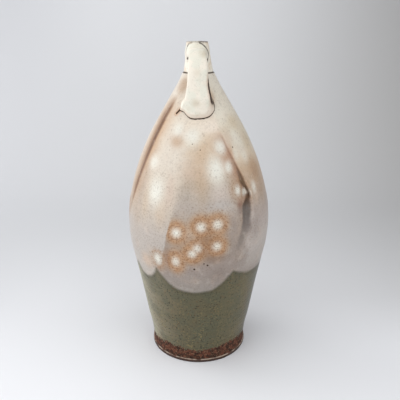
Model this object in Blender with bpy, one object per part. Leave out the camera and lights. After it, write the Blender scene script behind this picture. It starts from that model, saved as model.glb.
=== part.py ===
"""A tall stoneware jug: slab base, folded egg-shaped wall, narrow neck and small strap handle.

Metres, +Z up. The pot's axis is the Z axis, the base stands on Z = 0, and the handle faces -Y.
Angles run round the pot from the handle side, positive towards +X.
"""

from math import cos, exp, pi, radians, sin

import bmesh
import bpy
from mathutils import Vector

# The pot's driving sizes
POT_HEIGHT = 0.380
NECK_HEIGHT = 0.033
SEAM_HEIGHT = POT_HEIGHT - NECK_HEIGHT
BASE_RADIUS = 0.0605
BASE_THICKNESS = 0.0045
BASE_LEDGE = 0.0009
WALL_FOOT_RADIUS = BASE_RADIUS - BASE_LEDGE
BELLY_RADIUS = 0.0858
BELLY_HEIGHT = 0.172
SHOULDER_TOP_RADIUS = 0.0177
NECK_LEDGE = 0.0008
NECK_FOOT_RADIUS = SHOULDER_TOP_RADIUS - NECK_LEDGE
RIM_RADIUS = 0.0121
NECK_LEAN = -0.0015
WALL_THICKNESS = 0.005
NECK_WALL = 0.0041
RIM_ROUNDING = 0.0008
SEAM_CLEARANCE = 0.0003

# The slab base
BASE_EDGE_ROUNDING = 0.0011
FOOT_RING_WIDTH = 0.011
FOOT_RECESS = 0.001
BASE_SEGMENTS = 72

# The wall's outline: the foot swells to the belly, then the belly draws in to the neck
SWELL_HEIGHT_SHARES = (0.0, 0.042, 0.133, 0.246, 0.541, 0.70, 0.881)
SWELL_SHARES = (0.0, -0.010, 0.050, 0.203, 0.540, 0.743, 0.957)
DRAW_IN_HEIGHT_SHARES = (0.0, 0.10, 0.233, 0.407, 0.581, 0.711, 0.841, 0.928, 1.0)
DRAW_IN_SHARES = (0.0, 0.012, 0.078, 0.210, 0.396, 0.575, 0.771, 0.906, 1.0)
WALL_ROWS = 44
LINING_ROWS = 30

# The folds lapped into the shoulder: each one's path and depth, from its top to its bottom
FOLD_DEPTH = 0.0052
FOLD_LIP = 0.0016
FOLD_DIP_WIDTH = 0.0135
FOLD_LIP_RUN = 0.0021
FOLD_LIP_WIDTH = 0.011
FOLD_SOFT_RUN = 0.012
LONG_FOLD_HEIGHT_SHARES = (0.45, 0.527, 0.577, 0.615, 0.688, 0.755, 0.869, 0.95)
LONG_FOLD_TURNS = (-14.0, -11.5, -8.1, -5.7, -2.2, 0.4, 3.3, 6.5)
LONG_FOLD_DEPTH_SHARES = (0.0, 0.25, 0.48, 0.63, 0.77, 0.82, 0.70, 0.0)
LONG_FOLD_SHARPNESS_SHARES = (0.0, 0.6, 1.0, 1.0, 1.0, 1.0, 1.0, 0.7)
SHORT_FOLD_HEIGHT_SHARES = (0.40, 0.466, 0.506, 0.577, 0.622, 0.664, 0.708, 0.796, 0.84)
SHORT_FOLD_TURNS = (-2.5, 0.4, 3.4, 8.0, 10.6, 7.7, 3.2, -5.2, -9.5)
SHORT_FOLD_DEPTH_SHARES = (0.0, 0.30, 0.68, 1.16, 1.18, 0.96, 0.70, 0.36, 0.0)
SHORT_FOLD_SHARPNESS_SHARES = (0.0, 0.0, 0.1, 0.55, 1.0, 1.0, 1.0, 1.0, 0.8)
LEFT_FOLD_ANGLE = -63.5
RIGHT_FOLD_ANGLE = 35.5
BACK_RIGHT_FOLD_ANGLE = 122.5
BACK_LEFT_FOLD_ANGLE = 209.5
PANEL_COLUMN_SHARES = (
    0.0, 0.016, 0.045, 0.09, 0.18, 0.30, 0.43, 0.56, 0.69, 0.79, 0.865, 0.925, 0.962, 0.986,
)

# The neck's outline, from the seam to the rim
NECK_HEIGHT_SHARES = (0.0, 0.06, 0.19, 0.32, 0.72, 1.0)
NECK_TAPER_SHARES = (0.0, 0.06, 0.23, 0.40, 0.71, 1.0)
NECK_ROWS = 9
NECK_SEGMENTS = 40

# The handle: a pad pressed on the neck, a pulled strap, and a tongue pressed on the shoulder
PAD_DROP = 0.0012
PAD_HEIGHT = 0.0212
PAD_WRAP = 0.0345
PAD_SHIFT = -0.0024
PAD_THICKNESS = 0.0018
PAD_EDGE_THICKNESS = 0.0008
PAD_EDGE_INSET = 0.0004
PAD_SLOPE = 0.0042
STRAP_WIDTH = 0.0224
STRAP_THICKNESS = 0.0080
FINGER_ROOM = 0.0200
TONGUE_DROP = 0.0450
TONGUE_HEIGHT = 0.0270
TONGUE_WIDTH = 0.0350
TONGUE_THICKNESS = 0.0026
TONGUE_SHIFT = -0.0015
TONGUE_PEAR_SHARE = 0.16
PRESSED_EDGE = 0.0012
BEND_SHARE = 0.50
LANDING_SHARE = 0.46
STRAP_WIDTH_SHARES = (0.81, 0.84, 0.92, 0.99, 1.07, 1.16, 1.31)
STRAP_THICKNESS_SHARES = (1.45, 1.12, 1.0, 0.96, 0.98, 1.08, 1.40)
STRAP_SQUARENESS = 2.5
STRAP_RINGS_PER_BEND = 8
HANDLE_SEGMENTS = 32
SEAT_RING_SHARES = (0.20, 0.40, 0.60, 0.80)

ALONG_STRAP_SHARES = tuple(i / (len(STRAP_WIDTH_SHARES) - 1) for i in range(len(STRAP_WIDTH_SHARES)))


def clear_scene():
    for thing in list(bpy.data.objects):
        bpy.data.objects.remove(thing, do_unlink=True)


def make_material(name, colour, roughness):
    material = bpy.data.materials.new(name)
    material.use_nodes = True
    shader = material.node_tree.nodes["Principled BSDF"]
    shader.inputs["Base Color"].default_value = (*colour, 1.0)
    shader.inputs["Roughness"].default_value = roughness
    shader.inputs["Metallic"].default_value = 0.0
    return material


def bare_clay():
    return make_material("bare_red_clay", (0.20, 0.085, 0.055), 0.78)


def poured_glaze():
    return make_material("poured_shino_glaze", (0.55, 0.45, 0.38), 0.34)


def collar_glaze():
    return make_material("cream_collar_glaze", (0.80, 0.76, 0.66), 0.32)


def handle_glaze():
    return make_material("cream_handle_glaze", (0.84, 0.80, 0.70), 0.30)


def smooth_value(places, values, at):
    """Read a smooth curve through the given places, which never overshoots between them."""
    at = min(max(at, places[0]), places[-1])
    steps = [b - a for a, b in zip(places, places[1:])]
    rises = [(b - a) / step for a, b, step in zip(values, values[1:], steps)]
    slopes = [rises[0]]
    for before, after in zip(rises, rises[1:]):
        same_way = before * after > 0
        slopes.append(2 * before * after / (before + after) if same_way else 0.0)
    slopes.append(rises[-1])
    i = next(k for k, end in enumerate(places[1:]) if at <= end)
    t = (at - places[i]) / steps[i]
    start = values[i] * (1 + 2 * t) * (1 - t) ** 2 + slopes[i] * steps[i] * t * (1 - t) ** 2
    end = values[i + 1] * t * t * (3 - 2 * t) - slopes[i + 1] * steps[i] * t * t * (1 - t)
    return start + end


def smooth_step(t):
    t = min(max(t, 0.0), 1.0)
    return t * t * (3 - 2 * t)


WALL_BOTTOM = BASE_THICKNESS + SEAM_CLEARANCE
WALL_TOP = SEAM_HEIGHT - SEAM_CLEARANCE / 2
NECK_BOTTOM = SEAM_HEIGHT + SEAM_CLEARANCE / 2
LOWER_RISE = BELLY_HEIGHT - WALL_BOTTOM
UPPER_RISE = WALL_TOP - BELLY_HEIGHT
OUTLINE_HEIGHTS = (
    *(WALL_BOTTOM + share * LOWER_RISE for share in SWELL_HEIGHT_SHARES),
    *(BELLY_HEIGHT + share * UPPER_RISE for share in DRAW_IN_HEIGHT_SHARES),
)
OUTLINE_RADII = (
    *(WALL_FOOT_RADIUS + share * (BELLY_RADIUS - WALL_FOOT_RADIUS) for share in SWELL_SHARES),
    *(BELLY_RADIUS - share * (BELLY_RADIUS - SHOULDER_TOP_RADIUS) for share in DRAW_IN_SHARES),
)


def body_radius(height):
    return smooth_value(OUTLINE_HEIGHTS, OUTLINE_RADII, height)


class Fold:
    """One lap of the wall: a dip that runs under a proud lip on its right-hand side."""

    def __init__(self, angle, heights, turns, depths, sharpness):
        self.angle = angle
        self.heights = heights
        self.turns = turns
        self.depths = depths
        self.sharpness = sharpness

    def angle_at(self, share):
        return radians(self.angle + smooth_value(self.heights, self.turns, share))

    def depth_at(self, share):
        return FOLD_DEPTH * smooth_value(self.heights, self.depths, share)

    def sharpness_at(self, share):
        return smooth_value(self.heights, self.sharpness, share)


LONG_FOLD = (
    LONG_FOLD_HEIGHT_SHARES,
    LONG_FOLD_TURNS,
    LONG_FOLD_DEPTH_SHARES,
    LONG_FOLD_SHARPNESS_SHARES,
)
SHORT_FOLD = (
    SHORT_FOLD_HEIGHT_SHARES,
    SHORT_FOLD_TURNS,
    SHORT_FOLD_DEPTH_SHARES,
    SHORT_FOLD_SHARPNESS_SHARES,
)
FOLDS = (
    Fold(LEFT_FOLD_ANGLE, *LONG_FOLD),
    Fold(RIGHT_FOLD_ANGLE, *SHORT_FOLD),
    Fold(BACK_RIGHT_FOLD_ANGLE, *LONG_FOLD),
    Fold(BACK_LEFT_FOLD_ANGLE, *SHORT_FOLD),
)


def wall_share(height):
    return (height - WALL_BOTTOM) / (WALL_TOP - WALL_BOTTOM)


def arc_from_fold(fold, angle, height):
    """Signed distance round the wall from the fold's line, positive to its right."""
    turn = (angle - fold.angle_at(wall_share(height)) + pi) % (2 * pi) - pi
    return turn * body_radius(height)


def dip_at(fold, arc, height):
    """How far the wall dips under the lap, on its open side."""
    return fold.depth_at(wall_share(height)) * exp(-((abs(arc) / FOLD_DIP_WIDTH) ** 1.5))


def fold_relief(angle, height):
    """How far the folds move the outside of the wall in or out."""
    relief = 0.0
    for fold in FOLDS:
        share = wall_share(height)
        arc = arc_from_fold(fold, angle, height)
        sharp = fold.sharpness_at(share)
        if arc <= 0:
            relief -= dip_at(fold, arc, height)
            continue
        run = FOLD_SOFT_RUN + (FOLD_LIP_RUN - FOLD_SOFT_RUN) * sharp
        lip = FOLD_LIP * sharp * fold.depth_at(share) / FOLD_DEPTH
        rise = smooth_step(arc / run)
        relief += -fold.depth_at(share) * (1 - rise) + lip * rise * exp(-arc / FOLD_LIP_WIDTH)
    return relief


def lining_relief(angle, height):
    """How far the folds push the inside of the wall in, behind the doubled clay of the laps."""
    return -sum(dip_at(fold, arc_from_fold(fold, angle, height), height) for fold in FOLDS)


def column_angles(height):
    """Angles of the wall's columns: close beside each fold's line, wide between them."""
    lines = [fold.angle_at(wall_share(height)) for fold in FOLDS]
    lines.append(lines[0] + 2 * pi)
    angles = []
    for start, end in zip(lines, lines[1:]):
        angles.extend(start + share * (end - start) for share in PANEL_COLUMN_SHARES)
    return angles


def spread(start, end, count):
    """Evenly spaced values from start to end, both included."""
    return [start + (end - start) * i / (count - 1) for i in range(count)]


def around(radius, angle, height, centre_x=0.0):
    return Vector((centre_x + radius * sin(angle), -radius * cos(angle), height))


def ring_of_vertices(bm, points):
    vertices = [bm.verts.new(point) for point in points]
    for a, b in zip(vertices, vertices[1:] + vertices[:1]):
        bm.edges.new((a, b))
    return vertices


def pull_up_ring(bm, ring, points):
    """Extrude a ring of vertices and set the new ring on its points."""
    edges = [bm.edges.get((a, b)) for a, b in zip(ring, ring[1:] + ring[:1])]
    made = bmesh.ops.extrude_edge_only(bm, edges=edges)["geom"]
    fresh = {item for item in made if isinstance(item, bmesh.types.BMVert)}
    new_ring = []
    for vertex, point in zip(ring, points):
        twin = next(e.other_vert(vertex) for e in vertex.link_edges if e.other_vert(vertex) in fresh)
        twin.co = point
        new_ring.append(twin)
    return new_ring


def finish_object(name, bm, material, sharp_angle=35.0):
    bmesh.ops.recalc_face_normals(bm, faces=bm.faces)
    mesh = bpy.data.meshes.new(name)
    bm.to_mesh(mesh)
    bm.free()
    mesh.shade_smooth()
    mesh.set_sharp_from_angle(angle=radians(sharp_angle))
    mesh.materials.append(material)
    thing = bpy.data.objects.new(name, mesh)
    bpy.context.scene.collection.objects.link(thing)
    return thing


def make_tube(name, rings, material):
    """Loft a wall through its rings, up the outside and down the inside, and close it on itself."""
    bm = bmesh.new()
    first = ring_of_vertices(bm, rings[0])
    ring = first
    for points in rings[1:]:
        ring = pull_up_ring(bm, ring, points)
    for i, corner in enumerate(first):
        j = (i + 1) % len(first)
        bm.faces.new((corner, first[j], ring[j], ring[i]))
    return finish_object(name, bm, material)


def make_capped_loft(name, rings, start, end, material):
    """Loft a solid through its rings, and close each end on one point."""
    bm = bmesh.new()
    ring = ring_of_vertices(bm, rings[0])
    close_on_point(bm, ring, start)
    for points in rings[1:]:
        ring = pull_up_ring(bm, ring, points)
    close_on_point(bm, ring, end)
    return finish_object(name, bm, material)


def close_on_point(bm, ring, point):
    centre = bm.verts.new(point)
    for a, b in zip(ring, ring[1:] + ring[:1]):
        bm.faces.new((a, b, centre))


def base_outline():
    """Half section of the slab, from the middle of its underside to the middle of its floor."""
    foot_outer = BASE_RADIUS - BASE_EDGE_ROUNDING
    foot_inner = foot_outer - FOOT_RING_WIDTH
    outline = [(foot_inner - FOOT_RECESS, FOOT_RECESS), (foot_inner, 0.0)]
    for corner_height, start in ((BASE_EDGE_ROUNDING, -pi / 2), (BASE_THICKNESS - BASE_EDGE_ROUNDING, 0.0)):
        for turn in spread(start, start + pi / 2, 4):
            outline.append((
                foot_outer + BASE_EDGE_ROUNDING * cos(turn),
                corner_height + BASE_EDGE_ROUNDING * sin(turn),
            ))
    outline.append((foot_inner, BASE_THICKNESS))
    return outline


def make_base_slab():
    angles = [2 * pi * i / BASE_SEGMENTS for i in range(BASE_SEGMENTS)]
    rings = [[around(radius, a, height) for a in angles] for radius, height in base_outline()]
    underside = Vector((0, 0, FOOT_RECESS))
    floor = Vector((0, 0, BASE_THICKNESS))
    return make_capped_loft("base_slab", rings, underside, floor, bare_clay())


def wall_ring(height):
    return [
        around(body_radius(height) + fold_relief(a, height), a, height) for a in column_angles(height)
    ]


def lining_ring(height):
    return [
        around(body_radius(height) - WALL_THICKNESS + lining_relief(a, height), a, height)
        for a in column_angles(height)
    ]


def make_body_wall():
    outside = [wall_ring(height) for height in spread(WALL_BOTTOM, WALL_TOP, WALL_ROWS)]
    inside = [lining_ring(height) for height in spread(WALL_TOP, WALL_BOTTOM, LINING_ROWS)]
    return make_tube("body_wall", outside + inside, poured_glaze())


def neck_share(height):
    return (height - NECK_BOTTOM) / (POT_HEIGHT - NECK_BOTTOM)


def neck_radius(height):
    taper = smooth_value(NECK_HEIGHT_SHARES, NECK_TAPER_SHARES, neck_share(height))
    return NECK_FOOT_RADIUS + (RIM_RADIUS - NECK_FOOT_RADIUS) * taper


def neck_centre(height):
    return NECK_LEAN * neck_share(height)


def neck_ring(radius, height):
    angles = [2 * pi * i / NECK_SEGMENTS for i in range(NECK_SEGMENTS)]
    return [around(radius, a, height, neck_centre(height)) for a in angles]


def make_neck_collar():
    lip = POT_HEIGHT - RIM_ROUNDING
    heights = spread(NECK_BOTTOM, lip, NECK_ROWS)
    outside = [neck_ring(neck_radius(height), height) for height in heights]
    rim_outside = neck_ring(RIM_RADIUS - RIM_ROUNDING, POT_HEIGHT)
    rim_inside = neck_ring(RIM_RADIUS - NECK_WALL + RIM_ROUNDING, POT_HEIGHT)
    bore = [neck_ring(neck_radius(height) - NECK_WALL, height) for height in reversed(heights)]
    return make_tube("neck_collar", [*outside, rim_outside, rim_inside, *bore], collar_glaze())


def on_neck(arc, height, proud):
    """Point wrapped round the neck, standing proud of it."""
    radius = neck_radius(height)
    return around(radius + proud, arc / radius, height, neck_centre(height))


def on_shoulder(across, height, proud):
    """Point laid on the shoulder at a distance across the front, standing proud of it."""
    angle = across / body_radius(height)
    return around(body_radius(height) + fold_relief(angle, height) + proud, angle, height)


def rounded(turn):
    """Across and up shares of a ring with slightly squared sides."""
    power = 2 / STRAP_SQUARENESS
    across = abs(cos(turn)) ** power * (1 if cos(turn) > 0 else -1)
    up = abs(sin(turn)) ** power * (1 if sin(turn) > 0 else -1)
    return across, up


HANDLE_TURNS = tuple(2 * pi * (i + 0.5) / HANDLE_SEGMENTS for i in range(HANDLE_SEGMENTS))
PAD_TOP = POT_HEIGHT - PAD_DROP
PAD_MIDDLE = PAD_TOP - PAD_HEIGHT / 2
TONGUE_BOTTOM = SEAM_HEIGHT - TONGUE_DROP
TONGUE_MIDDLE = TONGUE_BOTTOM + TONGUE_HEIGHT / 2


def pad_ring(share, inset, proud):
    """Ring of the pad's outline, wrapped on the neck."""
    half_wrap = (PAD_WRAP / 2 - inset) * share
    half_height = (PAD_HEIGHT / 2 - inset) * share
    return [
        on_neck(PAD_SHIFT + half_wrap * cos(turn), PAD_MIDDLE + half_height * sin(turn), proud)
        for turn in HANDLE_TURNS
    ]


def tongue_ring(share, inset, proud):
    """Ring of the tongue's pear-shaped outline, laid on the shoulder; its turned side is lowest."""
    ring = []
    for turn in HANDLE_TURNS:
        across, up = rounded(turn)
        half_width = (TONGUE_WIDTH / 2 - inset) * (1 + TONGUE_PEAR_SHARE * sin(turn))
        half_height = TONGUE_HEIGHT / 2 - inset
        height = TONGUE_MIDDLE - half_height * share * up
        ring.append(on_shoulder(TONGUE_SHIFT + half_width * share * across, height, proud))
    return ring


def strap_path():
    """Points of the strap's middle line as (distance in front of the axis, height)."""
    root = Vector((neck_radius(PAD_MIDDLE) + 2 * PAD_THICKNESS, PAD_MIDDLE))
    front_reach = SHOULDER_TOP_RADIUS + FINGER_ROOM + STRAP_THICKNESS / 2
    landing = Vector((
        body_radius(TONGUE_MIDDLE) + TONGUE_THICKNESS + STRAP_THICKNESS / 2,
        TONGUE_MIDDLE + TONGUE_HEIGHT / 4,
    ))
    bend = Vector((front_reach, root.y + (landing.y - root.y) * BEND_SHARE))
    out = Vector(((bend.x - root.x) * 0.62, (root.y - bend.y) * 0.22))
    rise = Vector((0, (root.y - bend.y) * 0.58))
    fall = Vector((0, (bend.y - landing.y) * LANDING_SHARE))
    return bezier(root, root + out, bend + rise, bend) + bezier(bend, bend - fall, landing + fall, landing)[1:]


def bezier(start, start_pull, end_pull, end):
    points = []
    for t in spread(0.0, 1.0, STRAP_RINGS_PER_BEND):
        points.append(
            start * (1 - t) ** 3
            + start_pull * 3 * t * (1 - t) ** 2
            + end_pull * 3 * t * t * (1 - t)
            + end * t**3
        )
    return points


def strap_rings():
    path = strap_path()
    rings = []
    for i, middle in enumerate(path):
        along = (path[min(i + 1, len(path) - 1)] - path[max(i - 1, 0)]).normalized()
        outward = Vector((-along.y, along.x))
        share = i / (len(path) - 1)
        half_width = STRAP_WIDTH / 2 * smooth_value(ALONG_STRAP_SHARES, STRAP_WIDTH_SHARES, share)
        half_thick = STRAP_THICKNESS / 2 * smooth_value(ALONG_STRAP_SHARES, STRAP_THICKNESS_SHARES, share)
        centre_x = neck_centre(PAD_MIDDLE) * (1 - share)
        ring = []
        for turn in HANDLE_TURNS:
            across, up = rounded(turn)
            place = middle + outward * half_thick * up
            ring.append(Vector((centre_x + half_width * across, -place.x, place.y)))
        rings.append(ring)
    return rings


def make_strap_handle():
    pad = [
        *(pad_ring(share, 0.0, SEAM_CLEARANCE) for share in SEAT_RING_SHARES),
        pad_ring(1.0, 0.0, SEAM_CLEARANCE),
        pad_ring(1.0, PAD_EDGE_INSET, PAD_EDGE_THICKNESS),
        pad_ring(1.0, PAD_SLOPE, PAD_THICKNESS),
    ]
    tongue = [
        tongue_ring(1.0, PRESSED_EDGE, TONGUE_THICKNESS),
        tongue_ring(1.0, 0.0, SEAM_CLEARANCE),
        *(tongue_ring(share, 0.0, SEAM_CLEARANCE) for share in reversed(SEAT_RING_SHARES)),
    ]
    neck_seat = on_neck(PAD_SHIFT, PAD_MIDDLE, SEAM_CLEARANCE)
    shoulder_seat = on_shoulder(TONGUE_SHIFT, TONGUE_MIDDLE, SEAM_CLEARANCE)
    rings = pad + strap_rings() + tongue
    return make_capped_loft("strap_handle", rings, neck_seat, shoulder_seat, handle_glaze())


def make_jug():
    clear_scene()
    make_base_slab()
    make_body_wall()
    make_neck_collar()
    make_strap_handle()


make_jug()
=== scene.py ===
"""A tall stoneware jug under soft studio light: bare base, poured glazes, cream collar and handle.

Metres, +Z up. The pot's axis is the Z axis, the base stands on Z = 0, and the handle faces -Y.
Angles run round the pot from the handle side, positive towards +X.
"""

from functools import reduce
from math import copysign, cos, hypot, pi, radians, sin

import bmesh
import bpy
import numpy as np
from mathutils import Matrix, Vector, noise


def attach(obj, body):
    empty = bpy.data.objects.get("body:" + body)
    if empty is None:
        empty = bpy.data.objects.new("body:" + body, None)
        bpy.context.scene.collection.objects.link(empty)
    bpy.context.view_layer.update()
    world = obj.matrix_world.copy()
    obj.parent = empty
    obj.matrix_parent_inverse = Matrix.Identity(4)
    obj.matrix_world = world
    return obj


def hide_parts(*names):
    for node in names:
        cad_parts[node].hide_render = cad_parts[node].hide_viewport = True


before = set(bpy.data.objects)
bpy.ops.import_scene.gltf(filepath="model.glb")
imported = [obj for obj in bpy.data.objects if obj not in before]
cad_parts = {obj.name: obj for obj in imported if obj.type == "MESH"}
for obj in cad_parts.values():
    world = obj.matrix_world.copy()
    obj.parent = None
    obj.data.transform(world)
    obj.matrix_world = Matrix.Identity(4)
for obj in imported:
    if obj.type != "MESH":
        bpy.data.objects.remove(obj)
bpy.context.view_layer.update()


# The photographer's stand. The camera looks down past the mouth at the pot's belly, from the
# handle side. Its place and lens were found from the ellipses of the mouth, the seam and the foot.
CAMERA_PLACE = (0.0017, -0.6074, 0.4065)
CAMERA_DOWN = radians(19.36)
LENS_MM = 47.1
SENSOR_MM = 36.0

camera_data = bpy.data.cameras.new("stand_camera")
camera_data.lens = LENS_MM
camera_data.sensor_width = SENSOR_MM
camera_data.clip_start = 0.01
camera = bpy.data.objects.new("stand_camera", camera_data)
camera.location = CAMERA_PLACE
camera.rotation_euler = (pi / 2 - CAMERA_DOWN, 0, 0)
bpy.context.scene.collection.objects.link(camera)
bpy.context.scene.camera = camera
bpy.context.scene.view_settings.view_transform = "Standard"


# The studio: a seamless sheet of pale paper that lies flat under the pot and sweeps up behind it,
# a large soft box on the left, a weaker one behind it, and pale walls that fill the shadows.
PAPER_HALF_WIDTH = 4.0
PAPER_FRONT = -4.0
PAPER_BEND_START = 0.50
PAPER_BEND_RADIUS = 0.45
PAPER_BEND_STEPS = 24
PAPER_WALL_RISE = 3.0
PAPER_ROUGHNESS = 0.9
PAPER_SHINE = 0.1
PAPER_NEAR = (239, 240, 243)
PAPER_BEND = (202, 203, 205)
PAPER_WALL = (225, 226, 228)
PAPER_BEND_SPAN = (-0.22, 0.45)
PAPER_WALL_SPAN = (0.05, 0.75)
PAPER_BACK_SPAN = (-0.05, 0.12)
PAPER_SIDES = ((-0.18, -0.62, (196, 197, 200)), (0.02, 0.80, (160, 159, 158)))
BOX_AIM_HEIGHT = 0.19
WALLS_COLOUR = (0.985, 0.99, 1.0, 1.0)
WALLS_LIGHT = 1.04

# The soft boxes: name, place, width and height, and watts
SOFT_BOXES = (
    ("front_soft_box", (-1.15, -0.85, 1.20), (1.4, 1.6), 5.0),
    ("side_soft_box", (-1.25, 0.50, 0.60), (0.8, 1.3), 7.0),
)


def as_light(steps):
    """Colours measured in steps of 0 to 255, as the light that they give back."""
    shares = np.clip(np.asarray(steps) / 255, 0, 1)
    return np.where(shares <= 0.04045, shares / 12.92, ((shares + 0.055) / 1.055) ** 2.4)


def glaze_colour(*steps):
    return (*as_light(steps).tolist(), 1.0)


def place_piece(name, bm, material):
    """Turn a shaped bmesh into a smooth piece in the scene."""
    mesh = bpy.data.meshes.new(name)
    bm.to_mesh(mesh)
    bm.free()
    mesh.shade_smooth()
    mesh.materials.append(material)
    piece = bpy.data.objects.new(name, mesh)
    bpy.context.scene.collection.objects.link(piece)
    return piece


def new_material(name):
    material = bpy.data.materials.new(name)
    material.use_nodes = True
    return material, material.node_tree, material.node_tree.nodes["Principled BSDF"]


def feed(node, feeds):
    """Feed a node's inputs with values or from other nodes."""
    for name, value in feeds.items():
        if isinstance(value, bpy.types.NodeSocket):
            node.id_data.links.new(value, node.inputs[name])
        else:
            node.inputs[name].default_value = value
    return node


def put(tree, kind, feeds, **settings):
    """Add a shader node with its settings, and feed its inputs."""
    node = tree.nodes.new("ShaderNode" + kind)
    for name, setting in settings.items():
        setattr(node, name, setting)
    return feed(node, feeds)


def axes(tree):
    """The X, Y and Z of each place on the object."""
    place = put(tree, "TexCoord", {}).outputs["Object"]
    return put(tree, "SeparateXYZ", {"Vector": place}).outputs


def reckon(operation, *terms):
    """Reckon with terms of which one at least comes from a node."""
    tree = next(term.id_data for term in terms if isinstance(term, bpy.types.NodeSocket))
    return put(tree, "Math", dict(enumerate(terms)), operation=operation).outputs[0]


def fade(value, start, end):
    """Rise smoothly from 0 to 1 while a value goes from start to end."""
    feeds = {"Value": value, "From Min": start, "From Max": end}
    return put(value.id_data, "MapRange", feeds, interpolation_type="SMOOTHSTEP").outputs["Result"]


def lay_over(under, over, share, *more):
    """Cover one colour with another by a share, or by several multiplied together."""
    for other in more:
        share = reckon("MULTIPLY", share, other)
    return put(share.id_data, "Mix", {0: share, 6: under, 7: over}, data_type="RGBA").outputs[2]


def paper_material():
    """Pale paper, greyer in the bend and at both far sides, where less light falls on it."""
    material, tree, shader = new_material("studio_paper")
    place = axes(tree)
    colour = glaze_colour(*PAPER_NEAR)
    colour = lay_over(colour, glaze_colour(*PAPER_BEND), fade(place["Y"], *PAPER_BEND_SPAN))
    colour = lay_over(colour, glaze_colour(*PAPER_WALL), fade(place["Z"], *PAPER_WALL_SPAN))
    behind = fade(place["Y"], *PAPER_BACK_SPAN)
    for start, end, tone in PAPER_SIDES:
        colour = lay_over(colour, glaze_colour(*tone), fade(place["X"], start, end), behind)
    feed(shader, {"Base Color": colour, "Roughness": PAPER_ROUGHNESS})
    feed(shader, {"Specular IOR Level": PAPER_SHINE})
    return material


def of_kind(geometry, kind):
    return [item for item in geometry if isinstance(item, kind)]


def make_paper():
    """Draw the sheet's front edge, pull it back on the floor, bend it and pull it up the wall."""
    bm = bmesh.new()
    corners = [bm.verts.new((x, PAPER_FRONT, 0)) for x in (-PAPER_HALF_WIDTH, PAPER_HALF_WIDTH)]
    edge = [bm.edges.new(corners)]
    floor = bmesh.ops.extrude_edge_only(bm, edges=edge)["geom"]
    moved = of_kind(floor, bmesh.types.BMVert)
    bmesh.ops.translate(bm, verts=moved, vec=(0, PAPER_BEND_START - PAPER_FRONT, 0))
    back = [edge for edge in of_kind(floor, bmesh.types.BMEdge) if set(edge.verts) == set(moved)]
    bend = bmesh.ops.spin(
        bm, geom=moved + back, cent=(0, PAPER_BEND_START, PAPER_BEND_RADIUS), axis=(1, 0, 0),
        angle=pi / 2, steps=PAPER_BEND_STEPS, use_duplicate=False,
    )["geom_last"]
    wall = bmesh.ops.extrude_edge_only(bm, edges=of_kind(bend, bmesh.types.BMEdge))["geom"]
    bmesh.ops.translate(bm, verts=of_kind(wall, bmesh.types.BMVert), vec=(0, 0, PAPER_WALL_RISE))
    bmesh.ops.recalc_face_normals(bm, faces=bm.faces)
    return place_piece("studio_paper", bm, paper_material())


def hang_soft_box(name, place, size, watts):
    lamp = bpy.data.lights.new(name, "AREA")
    lamp.shape = "RECTANGLE"
    lamp.size, lamp.size_y = size
    lamp.energy = watts
    holder = bpy.data.objects.new(name, lamp)
    holder.location = place
    aim = Vector((0, 0, BOX_AIM_HEIGHT)) - holder.location
    holder.rotation_euler = aim.to_track_quat("-Z", "Y").to_euler()
    holder.visible_camera = False
    bpy.context.scene.collection.objects.link(holder)


def light_walls():
    world = bpy.data.worlds.new("studio_walls")
    world.use_nodes = True
    feed(world.node_tree.nodes["Background"], {"Color": WALLS_COLOUR, "Strength": WALLS_LIGHT})
    bpy.context.scene.world = world


make_paper()
for soft_box in SOFT_BOXES:
    hang_soft_box(*soft_box)
light_walls()


# The base slab: a disc of iron-red stoneware that the wall stands on, left bare all round.
# It was rolled and cut, its edge was rounded with a sponge, and its underside is slightly hollow.
BASE_RADIUS = 0.0605
BASE_THICKNESS = 0.0045
BASE_EDGE_ROUNDING = 0.0011
FOOT_RING_WIDTH = 0.011
FOOT_RECESS = 0.001
BASE_STEPS = 240
BASE_UNEVENNESS = 0.00025
BASE_WAVES_PER_METRE = 60
EDGE_SEGMENTS = 5
SPECK_CORE = 0.45
CLAY_RED = glaze_colour(98, 60, 46)
CLAY_DARK = glaze_colour(54, 36, 28)
CLAY_ASH = glaze_colour(142, 112, 88)
CLAY_WORN_EDGE_HIGHLIGHT = glaze_colour(168, 150, 134)

# Where the slab's side turns dark, and where its upper edge is worn pale and carries a painted
# highlight, measured down from its top
CLAY_SIDE_SPAN = (0.0006, 0.0018)
CLAY_WORN_HIGHLIGHT_SPAN = (0.0012, 0.0006)

# Clouds in a surface's colour: their size and detail, where in the noise they start and are full,
# their strength and their colour
CLAY_CLOUDS = (
    (0.0045, 3.0, 0.40, 0.60, 1.0, CLAY_DARK),
    (0.0017, 2.0, 0.55, 0.68, 0.55, CLAY_ASH),
)


def around(radius, angle, height, centre_x=0.0):
    return Vector((centre_x + radius * sin(angle), -radius * cos(angle), height))


def place_on_pot(tree, stretch=(1, 1, 1)):
    place = put(tree, "TexCoord", {}).outputs["Object"]
    return put(tree, "Mapping", {"Vector": place, "Scale": stretch}).outputs["Vector"]


def mottle(tree, size, detail=3.0, stretch=(1, 1, 1)):
    """Cloudy change between 0 and 1, in patches of about a size."""
    feeds = {"Vector": place_on_pot(tree, stretch), "Scale": 1 / size, "Detail": detail}
    return put(tree, "TexNoise", feeds).outputs["Fac"]


def blotches(tree, size, detail, start, end, stretch=(1, 1, 1)):
    """1 in soft blotches of about a size, and 0 between them."""
    return fade(mottle(tree, size, detail, stretch), start, end)


def lay_clouds(tree, colour, clouds):
    """Lay clouds of other colours over a colour."""
    for *cloud, strength, over in clouds:
        colour = lay_over(colour, over, blotches(tree, *cloud), strength)
    return colour


def specks(tree, spacing, reach):
    """1 in small specks about a spacing apart, and 0 between them; the reach is a share of it."""
    feeds = {"Vector": place_on_pot(tree), "Scale": 1 / spacing, "Randomness": 1.0}
    away = put(tree, "TexVoronoi", feeds).outputs["Distance"]
    return fade(away, reach, reach * SPECK_CORE)


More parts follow.
